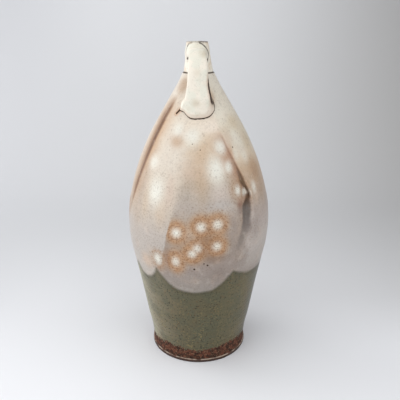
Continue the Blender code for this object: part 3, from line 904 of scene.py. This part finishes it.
def from_tongue(angle, height):
    """Distance from the tongue's edge, negative inside it, and how faint its join is there."""
    directions = np.linspace(-180, 180, TONGUE_STEPS)
    edge_across, edge_height = tongue_outline(directions)
    away = np.full(len(angle), NO_JOIN)
    faint = np.ones(len(angle))
    across = arc_from(0.0, angle, height)
    near = (np.abs(across) < NEAR_TONGUE_ACROSS) & (height > NEAR_TONGUE_HEIGHT)
    gaps = np.hypot(across[near, None] - edge_across, height[near, None] - edge_height)
    across = across[near] - TONGUE_SHIFT
    down = TONGUE_MIDDLE - height[near]
    reach = np.interp(np.degrees(np.arctan2(across, down)), TONGUE_DIRECTIONS, TONGUE_REACHES)
    away[near] = np.min(gaps, axis=1) * np.where(np.hypot(across, down) > reach, 1, -1)
    nearest = directions[np.argmin(gaps, axis=1)]
    faint[near] = 1 - np.interp(nearest, TONGUE_DIRECTIONS, TONGUE_JOINS)
    return away, faint


def paint_wall(mesh, angle, height):
    """Mark on each vertex where the glazes, the spots, the folds and the joins lie."""
    degrees = (np.degrees(angle) + 180) % 360 - 180
    core, halo, ground = spot_marks(angle, height)
    join, faint_join = from_tongue(angle, height)
    metres_a_degree = radians(1) * wall_radius(height)
    left_edge = smooth_curve(LEFT_POUR_HEIGHTS, LEFT_POUR_ANGLES)(height)
    left_reach = (left_edge - degrees) * metres_a_degree
    soft_reach = left_reach / np.interp(height, LEFT_POUR_SOFT_HEIGHTS, LEFT_POUR_SOFTNESS)
    back_reach = (degrees - LEFT_POUR_BACK_END) * metres_a_degree / LEFT_POUR_BACK_SOFTNESS
    far_left = smooth_step((GROUND_LEFT_END - degrees) / GROUND_LEFT_SOFTNESS)
    hidden = past_edge(left_reach, LEFT_POUR_EDGE_SOFTNESS) * (1 - far_left)
    hidden *= smooth_step((height - LEFT_POUR_HIDES_ABOVE) / LEFT_POUR_HIDES_SOFTNESS)
    marks = {
        "above_pour_edge": above_pour_edge(angle, height),
        "over_left_pour": np.minimum(soft_reach, back_reach),
        "above_bare_clay": height - np.interp(degrees, GREEN_END_ANGLES, GREEN_END_HEIGHTS),
        "spot_core": core * (1 - fold_darkness(angle, height)),
        "spot_halo": halo * (1 - hidden),
        "spot_ground": ground * (1 - hidden),
        "away_from_join": join,
        "faint_join": faint_join,
    }
    for name, values in marks.items():
        mark_values(mesh, name, values)
    low = 0.5 * smooth_step((GROUND_LOW_END - height) / GROUND_LOW_SOFTNESS)
    left_ground = ground * np.maximum(far_left, low)
    mark_colours(mesh, "front_tone", pale_glaze_tones(angle, height, FRONT_TONES, ground))
    mark_colours(mesh, "left_tone", pale_glaze_tones(angle, height, LEFT_TONES, left_ground))
    mark_colours(mesh, "green_lit_tone", tones_at(GREEN_LIT_TONES, degrees))


def painted(tree, name, kind="Fac"):
    return put(tree, "Attribute", {}, attribute_name=name).outputs[kind]


def wavered(value, *wavers):
    """A distance that wanders a little, so that the edge drawn from it isn't ruled."""
    for size, amount in wavers:
        wander = reckon("MULTIPLY_ADD", mottle(value.id_data, size), amount, -amount / 2)
        value = reckon("ADD", value, wander)
    return value


def draw_edge(value, span, *wavers):
    """0 before a wandering edge and 1 past it."""
    return fade(wavered(value, *wavers), *span)


def green_glaze_colour(tree):
    """Olive ash glaze with painted light and shade, clouded grey, freckled gold and rust, inked
    with iron.
    """
    colour = lay_clouds(tree, painted(tree, "green_lit_tone", "Color"), GREEN_GREY_CLOUDS)
    low = reckon("MULTIPLY_ADD", fade(axes(tree)["Z"], *GREEN_LOW_SPAN), 0.20, 0.25)
    streaks = blotches(tree, 0.014, 3.0, 0.40, 0.62, STREAK_STRETCH)
    streaks = reckon("MULTIPLY_ADD", streaks, 1.1, 0.5)
    colour = lay_over(colour, GREEN_GOLD, blotches(tree, 0.0021, 2.0, 0.50, 0.66), low, streaks)
    freckled = blotches(tree, 0.011, 3.0, 0.42, 0.60)
    colour = lay_over(colour, GREEN_RUST, specks(tree, 0.0036, 0.36), freckled, 0.5)
    return lay_clouds(tree, colour, GREEN_INK_CLOUDS)


def pale_glaze_colour(tree):
    """Poured pale glaze: the left pour over the others, clouds, haloes, spots and specks."""
    left = draw_edge(painted(tree, "over_left_pour"), *LEFT_POUR_EDGE)
    tones = [painted(tree, name, "Color") for name in ("front_tone", "left_tone")]
    colour = lay_over(*tones, left)
    colour = lay_clouds(tree, colour, POUR_CLOUDS)
    halo = reckon("MULTIPLY", painted(tree, "spot_halo"), blotches(tree, 0.0042, 3.0, 0.25, 0.62))
    rust = lay_over(HALO_RUST, HALO_TAN, blotches(tree, 0.0019, 2.0, 0.42, 0.60))
    colour = lay_over(colour, rust, fade(wavered(halo, (0.0021, 0.50)), 0.05, 0.85), 0.60)
    ground = painted(tree, "spot_ground")
    grain = blotches(tree, 0.0017, 2.0, 0.48, 0.70)
    colour = lay_over(colour, HALO_RUST, grain, ground, 0.55)
    core = reckon("MULTIPLY_ADD", mottle(tree, 0.0026), 0.5, 0.75)
    colour = lay_over(colour, SPOT_CREAM, core, painted(tree, "spot_core"))
    more = reckon("MULTIPLY_ADD", ground, 0.25, 0.12)
    more = reckon("MULTIPLY_ADD", fade(axes(tree)["Z"], *GRAIN_HIGH_SPAN), 0.12, more)
    colour = lay_over(colour, SPECK_BROWN, grain, more)
    freckled = blotches(tree, 0.012, 3.0, 0.44, 0.60)
    return lay_over(colour, SPECK_BROWN, specks(tree, 0.0042, 0.30), freckled, 0.25)


def reckon_vector(operation, feeds, result=0):
    return put(feeds[0].id_data, "VectorMath", feeds, operation=operation).outputs[result]


def away_from_place(tree, place, stretch=(1, 1, 1)):
    return reckon_vector("DISTANCE", {0: place_on_pot(tree, stretch), 1: place}, "Value")


def on_wall(angle, height, proud=0.0):
    """Place on the outside of the folded wall, or standing proud of it."""
    radius = float(wall_radius(height) + fold_relief(angle, height))
    return around(radius + proud, angle, height)


def strongest(marks):
    """The strongest of several marks at each place."""
    return reduce(lambda one, other: reckon("MAXIMUM", one, other), marks)


def pinhole_marks(tree):
    """1 in the few dark pits that burst in the glaze."""
    marks = []
    for degrees, height, reach in PINHOLES:
        away = away_from_place(tree, on_wall(radians(degrees), height))
        marks.append(fade(away, reach, reach / 2))
    return strongest(marks)


def away_from_stroke(tree, start, end):
    """Distance from a straight stroke between two places."""
    along = end - start
    from_start = reckon_vector("SUBTRACT", {0: place_on_pot(tree), 1: start})
    share = reckon_vector("DOT_PRODUCT", {0: from_start, 1: along / along.length_squared}, "Value")
    share = put(tree, "Clamp", {"Value": share}).outputs[0]
    reach = put(tree, "VectorMath", {0: along, "Scale": share}, operation="SCALE").outputs[0]
    return reckon_vector("DISTANCE", {0: from_start, 1: reach}, "Value")


def away_from_tail(tree):
    """Distance from the rusty tail of the tongue's join."""
    places = [on_wall(radians(degrees), height) for degrees, height in TONGUE_TAIL]
    strokes = [away_from_stroke(tree, *ends) for ends in zip(places, places[1:])]
    return reckon("MINIMUM", *strokes)


def join_mark(away):
    """1 in a join's dark line of oxide, uneven in width; down the strap's right edge, partly
    painted shadow.
    """
    return draw_edge(away, *JOIN_LINE)


def seam_mark(tree):
    """How dark the oxide lies in the line at the neck's seam."""
    away = reckon("ABSOLUTE", reckon("SUBTRACT", axes(tree)["Z"], SEAM_HEIGHT))
    return reckon("MULTIPLY", draw_edge(away, *SEAM_LINE), SEAM_STRENGTH)


def low_glaze_colour(tree, pour_edge_distance, glazed):
    """The green glaze, darker under the pours' edge, and the bare clay below it."""
    shade = fade(pour_edge_distance, *UNDER_POUR_SPAN)
    green = lay_over(green_glaze_colour(tree), GREEN_INK, shade, 0.25)
    return lay_over(bare_clay_colour(tree), green, glazed)


def joins_and_pits(tree, colour):
    """The oxide at the tongue's join and the seam, the join's rusty tail, and the glaze's pits."""
    tail = away_from_tail(tree)
    colour = lay_over(colour, TAIL_RUST, fade(tail, *TAIL_SPAN), 0.55)
    away = reckon("ABSOLUTE", painted(tree, "away_from_join"))
    away = reckon("MULTIPLY_ADD", painted(tree, "faint_join"), JOIN_FADE, away)
    for mark in (pinhole_marks(tree), join_mark(away), join_mark(tail), seam_mark(tree)):
        colour = lay_over(colour, JOIN_DARK, mark)
    return colour


def poured_material():
    material, tree, shader = new_material("poured_glazes")
    edge = wavered(painted(tree, "above_pour_edge"), *POUR_WAVERS)
    pour = fade(edge, *POUR_SPAN)
    glazed = draw_edge(painted(tree, "above_bare_clay"), *BARE_EDGE)
    colour = lay_over(low_glaze_colour(tree, edge, glazed), pale_glaze_colour(tree), pour)
    rough = reckon("MULTIPLY_ADD", glazed, -0.48, 0.73)
    rough = reckon("MULTIPLY_ADD", mottle(tree, 0.004), 0.10, rough)
    normal = raise_surface(mottle(tree, 0.020, 2.0, THROWING_STRETCH), 0.0005)
    normal = raise_surface(pour, 0.00030, normal)
    normal = raise_surface(glazed, 0.00020, normal)
    normal = raise_surface(mottle(tree, 0.0016, 2.0), 0.00008, normal)
    feed(shader, {"Base Color": joins_and_pits(tree, colour), "Roughness": rough, "Normal": normal})
    feed(shader, {"Specular IOR Level": GLAZE_SHINE})
    return material


def make_body_wall():
    outside = [(float(wall_radius(z)), z) for z in spread(WALL_BOTTOM, WALL_TOP, WALL_ROWS)]
    heights = spread(WALL_TOP, WALL_BOTTOM, LINING_ROWS)
    lining = [(float(wall_radius(z)) - WALL_THICKNESS, z) for z in heights]
    bm = spin_outline(outside + lining, WALL_COLUMNS, closed=True)
    piece = place_piece("glazed_body", bm, poured_material())
    paint_wall(piece.data, *lap_folds(piece.data))
    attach(piece, "root")
    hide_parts("body_wall")


make_body_wall()


# The neck collar: a short thrown collar, luted on top of the shoulder at the seam and drawn in
# to a plain round mouth. Cream glaze covers it and breaks to brown on the lip.
POT_HEIGHT = 0.380
NECK_FOOT_RADIUS = 0.0169
RIM_RADIUS = 0.0121
NECK_WALL = 0.0041
NECK_LEAN = -0.0015
RIM_ROUNDING = 0.0008
NECK_BOTTOM = SEAM_HEIGHT + SEAM_CLEARANCE / 2
NECK_ROWS = 60
NECK_STEPS = 192
NECK_HEIGHT_SHARES = (0.0, 0.06, 0.19, 0.32, 0.72, 1.0)
NECK_TAPER_SHARES = (0.0, 0.06, 0.23, 0.40, 0.71, 1.0)
PAD_DROP = 0.0012
PAD_HEIGHT = 0.0212
PAD_WRAP = 0.0345
PAD_SHIFT = -0.0024
PAD_MIDDLE = POT_HEIGHT - PAD_DROP - PAD_HEIGHT / 2
PAD_THICKNESS = 0.0018
PAD_SLOPE_SHARE = 0.32
COLLAR_CREAM = glaze_colour(232, 226, 211)
COLLAR_CLOUDS = (
    (0.008, 4.0, 0.46, 0.66, 0.8, glaze_colour(216, 198, 176)),
    (0.0016, 2.0, 0.56, 0.72, 0.16, SPECK_BROWN),
)
LIP_BROWN = glaze_colour(74, 54, 40)
LIP_EDGE = ((POT_HEIGHT - 0.0010, POT_HEIGHT - 0.0004), (0.003, 0.0008))
LIP_RIGHT_SPAN = (-0.0015, 0.0020)

# Lines of oxide at the handle's pad, each through points given as angle, height and strength
PAD_LINES = (
    (
        (14.0, 0.3790, 0.75), (22.0, 0.3779, 0.85), (35.0, 0.3756, 0.90), (50.0, 0.3702, 1.0),
        (54.5, 0.3660, 1.0), (46.5, 0.3608, 0.75), (36.5, 0.3566, 0.40),
    ),
    (
        (-30.0, 0.3794, 0.30), (-48.5, 0.3766, 0.30), (-54.0, 0.3734, 0.45), (-56.0, 0.3690, 0.45),
        (-56.0, 0.3648, 0.25), (-51.0, 0.3606, 0.20), (-42.0, 0.3576, 0.15),
    ),
    ((-47.0, 0.3774, 0.85), (-51.5, 0.3752, 0.85)),
)
PAD_LINE = ((0.0016, 0.0005), (0.0022, 0.0006))

neck_taper = smooth_curve(NECK_HEIGHT_SHARES, NECK_TAPER_SHARES)


def neck_share(height):
    return (height - NECK_BOTTOM) / (POT_HEIGHT - NECK_BOTTOM)


def neck_radius(height):
    return NECK_FOOT_RADIUS + (RIM_RADIUS - NECK_FOOT_RADIUS) * neck_taper(neck_share(height))


def neck_centre(height):
    return NECK_LEAN * neck_share(height)


def satin_glaze(tree, shader, colour):
    """Give a shader the smooth, slightly uneven surface of the cream glaze."""
    rough = reckon("MULTIPLY_ADD", mottle(tree, 0.004), 0.12, 0.36)
    normal = raise_surface(mottle(tree, 0.006, 2.0), 0.0004)
    normal = raise_surface(mottle(tree, 0.0016, 2.0), 0.00012, normal)
    feed(shader, {"Base Color": colour, "Roughness": rough, "Normal": normal})


def on_pad(degrees, height):
    """Place on the handle's pad where it is pressed round the neck, or on the neck beside it."""
    radius = float(neck_radius(height))
    across = (radians(degrees) * radius - PAD_SHIFT) / (PAD_WRAP / 2)
    inside = 1 - hypot(across, (height - PAD_MIDDLE) / (PAD_HEIGHT / 2))
    proud = PAD_THICKNESS * min(max(inside / PAD_SLOPE_SHARE, 0.0), 1.0)
    return around(radius + proud, radians(degrees), height, neck_centre(height))


def pad_line_marks(tree):
    """How dark the oxide lies along the lines at the pad."""
    marks = []
    for line in PAD_LINES:
        for (*start, strength), (*end, next_strength) in zip(line, line[1:]):
            mark = draw_edge(away_from_stroke(tree, on_pad(*start), on_pad(*end)), *PAD_LINE)
            marks.append(reckon("MULTIPLY", mark, (strength + next_strength) / 2))
    return strongest(marks)


def collar_material():
    """Cream glaze that warms where it lies thin, with fine brown specks, and brown on the lip."""
    material, tree, shader = new_material("cream_collar_glaze")
    colour = lay_clouds(tree, COLLAR_CREAM, COLLAR_CLOUDS)
    place = axes(tree)
    lip = draw_edge(place["Z"], *LIP_EDGE)
    right = reckon("MULTIPLY_ADD", fade(place["X"], *LIP_RIGHT_SPAN), 0.60, 0.40)
    colour = lay_over(colour, LIP_BROWN, lip, blotches(tree, 0.004, 3.0, 0.34, 0.50), right)
    for mark in (pad_line_marks(tree), seam_mark(tree)):
        colour = lay_over(colour, JOIN_DARK, mark)
    satin_glaze(tree, shader, colour)
    return material


def make_neck_collar():
    heights = spread(NECK_BOTTOM, POT_HEIGHT, NECK_ROWS)
    outside = [(float(neck_radius(z)), z) for z in heights]
    bore = [(float(neck_radius(z)) - NECK_WALL, z) for z in reversed(heights)]
    bm = spin_outline(outside + bore, NECK_STEPS, closed=True)
    rim = ring_edges(bm, POT_HEIGHT, RIM_RADIUS)
    rim += ring_edges(bm, POT_HEIGHT, RIM_RADIUS - NECK_WALL)
    soften_edges(bm, rim, RIM_ROUNDING)
    for vertex in bm.verts:
        vertex.co.x += neck_centre(vertex.co.z)
    piece = place_piece("cream_collar", bm, collar_material())
    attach(piece, "root")
    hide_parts("neck_collar")


make_neck_collar()


# The strap handle: pulled clay, pressed on the neck as a pad under the lip, looped out for one
# finger, and flared to a tongue that is smoothed on the shoulder on its left side only. Oxide
# lies dark in the joins.
PAD_EDGE_THICKNESS = 0.0008
PAD_EDGE_INSET = 0.0004
PAD_SLOPE = 0.0042
STRAP_WIDTH = 0.0224
STRAP_THICKNESS = 0.0080
FINGER_ROOM = 0.0200
TONGUE_HEIGHT = 0.0270
TONGUE_THICKNESS = 0.0026
TONGUE_SPREAD = 1.30
TONGUE_LEAST_REACH = 0.002
PRESSED_EDGE = 0.0012
SMOOTHED_EDGE = 0.0060
BEND_SHARE = 0.50
ROOT_PULL = (0.62, 0.22)
RISE_PULL = 0.58
LANDING_PULL = 0.46
STRAP_SHARES = (0.0, 0.167, 0.333, 0.5, 0.667, 0.833, 1.0)
STRAP_WIDTH_SHARES = (0.81, 0.84, 0.92, 0.99, 1.07, 1.16, 1.31)
STRAP_THICKNESS_SHARES = (1.45, 1.12, 1.0, 0.96, 0.98, 1.08, 1.40)
STRAP_SQUARENESS = 2.5
STRAP_RINGS_PER_BEND = 9
HANDLE_STEPS = 72
SEAT_RING_SHARES = (0.20, 0.40, 0.60, 0.80, 1.0)
SMOOTHING_LEVELS = 2
HANDLE_CREAM = glaze_colour(237, 229, 214)
# A beige for the handle's clouds and warm patches, and for the painted shade under the strap's bend
HANDLE_BEIGE_AND_SHADE = glaze_colour(208, 197, 175)
HANDLE_RUST = glaze_colour(176, 130, 96)
HANDLE_CLOUDS = (
    (0.012, 3.0, 0.42, 0.62, 1.0, glaze_colour(228, 225, 210)),
    (0.010, 4.0, 0.50, 0.75, 0.30, HANDLE_BEIGE_AND_SHADE),
)
HANDLE_GRAIN = ((0.0016, 2.0, 0.56, 0.72, 0.14, SPECK_BROWN),)
FRINGE_SPAN = (0.0040, 0.0008)
FRINGE_STRENGTH = 0.45

# A scratch in the pad, from angle and height to angle and height
PIT = ((-46.0, 0.3622), (-34.5, 0.3660))
PIT_LINE = ((0.0015, 0.00075), (0.0015, 0.0008))

# Warm patches on the strap, the last two being painted shade in the hollow under its bend: across
# the front, height, reach and strength
STRAP_PATCHES_AND_SHADE = (
    (-0.001, 0.3505, 0.0070, 0.40), (-0.0030, 0.3190, 0.0075, 0.70),
    (-0.0110, 0.3130, 0.0050, 0.35), (0.0030, 0.3700, 0.0055, 0.45),
    (0.0062, 0.3690, 0.0058, 0.85),
)

# The line of oxide and painted shadow down the strap's right edge, which leads into the join at the
# tongue's corner
EDGE_LINE_SHARES = (0.36, 0.50, 0.66, 1.0)
EDGE_LINE_STRENGTHS = (0.0, 0.7, 1.0, 1.0)
EDGE_LINE_ACROSS = 0.95
EDGE_LINE_UP = 0.15
TONGUE_CORNER = 94
TONGUE_CORNER_REACH = 18

# Rings of the tongue's edge: share of its inset, how proud they stand, and distance from the join
TONGUE_EDGE_RINGS = ((1.0, TONGUE_THICKNESS, 0.0025), (0.25, TONGUE_THICKNESS * 0.72, 0.0012))

strap_width_share = smooth_curve(STRAP_SHARES, STRAP_WIDTH_SHARES)
strap_thickness_share = smooth_curve(STRAP_SHARES, STRAP_THICKNESS_SHARES)
HANDLE_TURNS = [2 * pi * (i + 0.5) / HANDLE_STEPS for i in range(HANDLE_STEPS)]


def on_neck(arc, height, proud):
    """Point wrapped round the neck, standing proud of it."""
    radius = float(neck_radius(height))
    return around(radius + proud, arc / radius, height, neck_centre(height))


def on_shoulder(across, height, proud):
    """Place on the shoulder at a distance across the front, standing proud of it."""
    return on_wall(across / float(wall_radius(height)), height, proud)


def rounded(turn):
    """Across and up shares of a ring with slightly squared sides."""
    power = 2 / STRAP_SQUARENESS
    return [copysign(abs(share) ** power, share) for share in (cos(turn), sin(turn))]


def pad_ring(share, inset, proud):
    half_wrap = (PAD_WRAP / 2 - inset) * share
    half_height = (PAD_HEIGHT / 2 - inset) * share
    return [
        on_neck(PAD_SHIFT + half_wrap * cos(turn), PAD_MIDDLE + half_height * sin(turn), proud)
        for turn in HANDLE_TURNS
    ]


def tongue_ring(share, inset_share, proud, from_join):
    """Ring of the tongue laid on the shoulder, with each point's distance from the dark join.

    The tongue's smoothed side thins out to nothing, and the join is darkest at the right corner.
    """
    ring, distances = [], []
    for turn in HANDLE_TURNS:
        across, up = rounded(turn)
        direction = float(np.degrees(np.arctan2(across * TONGUE_SPREAD, up)))
        reach = float(np.interp(direction, TONGUE_DIRECTIONS, TONGUE_REACHES))
        smoothed = 1 - float(np.interp(direction, TONGUE_DIRECTIONS, TONGUE_JOINS))
        inset = inset_share * (PRESSED_EDGE + (SMOOTHED_EDGE - PRESSED_EDGE) * smoothed)
        reach = max(reach - inset, TONGUE_LEAST_REACH) * share
        across = TONGUE_SHIFT + reach * sin(radians(direction))
        height = TONGUE_MIDDLE - reach * cos(radians(direction))
        ring.append(on_shoulder(across, height, proud))
        from_corner = min(abs(direction - TONGUE_CORNER) / TONGUE_CORNER_REACH, 1)
        distances.append(from_join * from_corner + JOIN_FADE * smoothed)
    return ring, distances


def bezier(start, start_pull, end_pull, end):
    """Points along a curve that leaves its start and comes to its end along two pulls."""
    points = []
    for t in spread(0.0, 1.0, STRAP_RINGS_PER_BEND):
        left = 1 - t
        first_half = start * left**3 + start_pull * 3 * t * left**2
        points.append(first_half + end_pull * 3 * t * t * left + end * t**3)
    return points


def strap_path():
    """Points of the strap's middle line as (distance in front of the axis, height)."""
    root = Vector((float(neck_radius(PAD_MIDDLE)) + 2 * PAD_THICKNESS, PAD_MIDDLE))
    landing = Vector((
        float(wall_radius(TONGUE_MIDDLE)) + TONGUE_THICKNESS + STRAP_THICKNESS / 2,
        TONGUE_MIDDLE + TONGUE_HEIGHT / 4,
    ))
    front_reach = SHOULDER_TOP_RADIUS + FINGER_ROOM + STRAP_THICKNESS / 2
    bend = Vector((front_reach, root.y + (landing.y - root.y) * BEND_SHARE))
    out = Vector(((bend.x - root.x) * ROOT_PULL[0], (root.y - bend.y) * ROOT_PULL[1]))
    rise = Vector((0, (root.y - bend.y) * RISE_PULL))
    fall = Vector((0, (bend.y - landing.y) * LANDING_PULL))
    upper = bezier(root, root + out, bend + rise, bend)
    return upper + bezier(bend, bend - fall, landing + fall, landing)[1:]


def strap_rings():
    """Rings of the strap, each point's distance from the oxide and painted shadow down its right
    edge.
    """
    path = strap_path()
    rings = []
    for i, middle in enumerate(path):
        along = (path[min(i + 1, len(path) - 1)] - path[max(i - 1, 0)]).normalized()
        outward = Vector((-along.y, along.x))
        share = i / (len(path) - 1)
        half_width = STRAP_WIDTH / 2 * float(strap_width_share(share))
        half_thick = STRAP_THICKNESS / 2 * float(strap_thickness_share(share))
        centre_x = neck_centre(PAD_MIDDLE) * (1 - share)
        faint = JOIN_FADE * (1 - float(np.interp(share, EDGE_LINE_SHARES, EDGE_LINE_STRENGTHS)))
        ring, distances = [], []
        for turn in HANDLE_TURNS:
            across, up = rounded(turn)
            place = middle + outward * half_thick * up
            ring.append(Vector((centre_x + half_width * across, -place.x, place.y)))
            beside = half_width * max(EDGE_LINE_ACROSS - across, 0)
            behind = half_thick * max(EDGE_LINE_UP - up, 0)
            distances.append(faint + beside + behind if across > 0 else NO_JOIN)
        rings.append((ring, distances))
    return rings


def pull_ring(bm, ring, points):
    """Extrude a ring of vertices and set the new ring on its points."""
    edges = [bm.edges.get(pair) for pair in zip(ring, ring[1:] + ring[:1])]
    made = bmesh.ops.extrude_edge_only(bm, edges=edges)["geom"]
    fresh = set(of_kind(made, bmesh.types.BMVert))
    new_ring = []
    for vertex, point in zip(ring, points):
        neighbours = {edge.other_vert(vertex) for edge in vertex.link_edges}
        twin = (neighbours & fresh).pop()
        twin.co = point
        new_ring.append(twin)
    return new_ring


def close_ring(bm, ring, point):
    """Pull a ring in to one point."""
    bmesh.ops.pointmerge(bm, verts=pull_ring(bm, ring, [point] * len(ring)), merge_co=point)


def strap_patch_and_shade_marks(tree):
    """How much beige lies on the strap, from warm patches and painted shade, seen from the front.
    """
    marks = []
    for across, height, reach, strength in STRAP_PATCHES_AND_SHADE:
        away = away_from_place(tree, (across, 0, height), (1, 0, 1))
        marks.append(reckon("MULTIPLY", fade(away, reach, 0.0), strength))
    return strongest(marks)


def handle_material():
    material, tree, shader = new_material("cream_handle_glaze")
    colour = lay_clouds(tree, HANDLE_CREAM, HANDLE_CLOUDS)
    # Warm patches, and painted shade under the strap's bend
    colour = lay_over(colour, HANDLE_BEIGE_AND_SHADE, strap_patch_and_shade_marks(tree))
    colour = lay_clouds(tree, colour, HANDLE_GRAIN)
    # Distance from the joins' oxide and from the oxide and painted shadow down the strap's right
    # edge
    away = painted(tree, "away_from_join")
    colour = lay_over(colour, HANDLE_RUST, fade(away, *FRINGE_SPAN), FRINGE_STRENGTH)
    scratch = draw_edge(away_from_stroke(tree, *(on_pad(*place) for place in PIT)), *PIT_LINE)
    for mark in (join_mark(away), pad_line_marks(tree), scratch):
        colour = lay_over(colour, JOIN_DARK, mark)
    satin_glaze(tree, shader, colour)
    return material


def handle_rings():
    """Rings of points from the pad's seat on the neck to the tongue's seat on the shoulder."""
    pad = [pad_ring(share, 0.0, SEAM_CLEARANCE) for share in SEAT_RING_SHARES]
    pad.append(pad_ring(1.0, PAD_EDGE_INSET, PAD_EDGE_THICKNESS))
    pad.append(pad_ring(1.0, PAD_SLOPE, PAD_THICKNESS))
    rings = [(ring, [NO_JOIN] * HANDLE_STEPS) for ring in pad] + strap_rings()
    rings += [tongue_ring(1.0, *ring) for ring in TONGUE_EDGE_RINGS]
    seat = [tongue_ring(share, 0.0, SEAM_CLEARANCE, 0.0) for share in reversed(SEAT_RING_SHARES)]
    return rings + seat


def make_strap_handle():
    bm = bmesh.new()
    away = bm.verts.layers.float.new("away_from_join")
    circle = bmesh.ops.create_circle(bm, cap_ends=False, segments=HANDLE_STEPS, radius=RIM_RADIUS)
    first = ring = circle["verts"]
    for i, (points, distances) in enumerate(handle_rings()):
        if i:
            ring = pull_ring(bm, ring, points)
        for vertex, point, distance in zip(ring, points, distances):
            vertex.co = point
            vertex[away] = distance
    close_ring(bm, ring, on_shoulder(TONGUE_SHIFT, TONGUE_MIDDLE, SEAM_CLEARANCE))
    close_ring(bm, first, on_neck(PAD_SHIFT, PAD_MIDDLE, SEAM_CLEARANCE))
    bmesh.ops.recalc_face_normals(bm, faces=bm.faces)
    piece = place_piece("pulled_handle", bm, handle_material())
    smoothing = piece.modifiers.new("smoothing", "SUBSURF")
    smoothing.levels = smoothing.render_levels = SMOOTHING_LEVELS
    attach(piece, "root")
    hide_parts("strap_handle")


make_strap_handle()
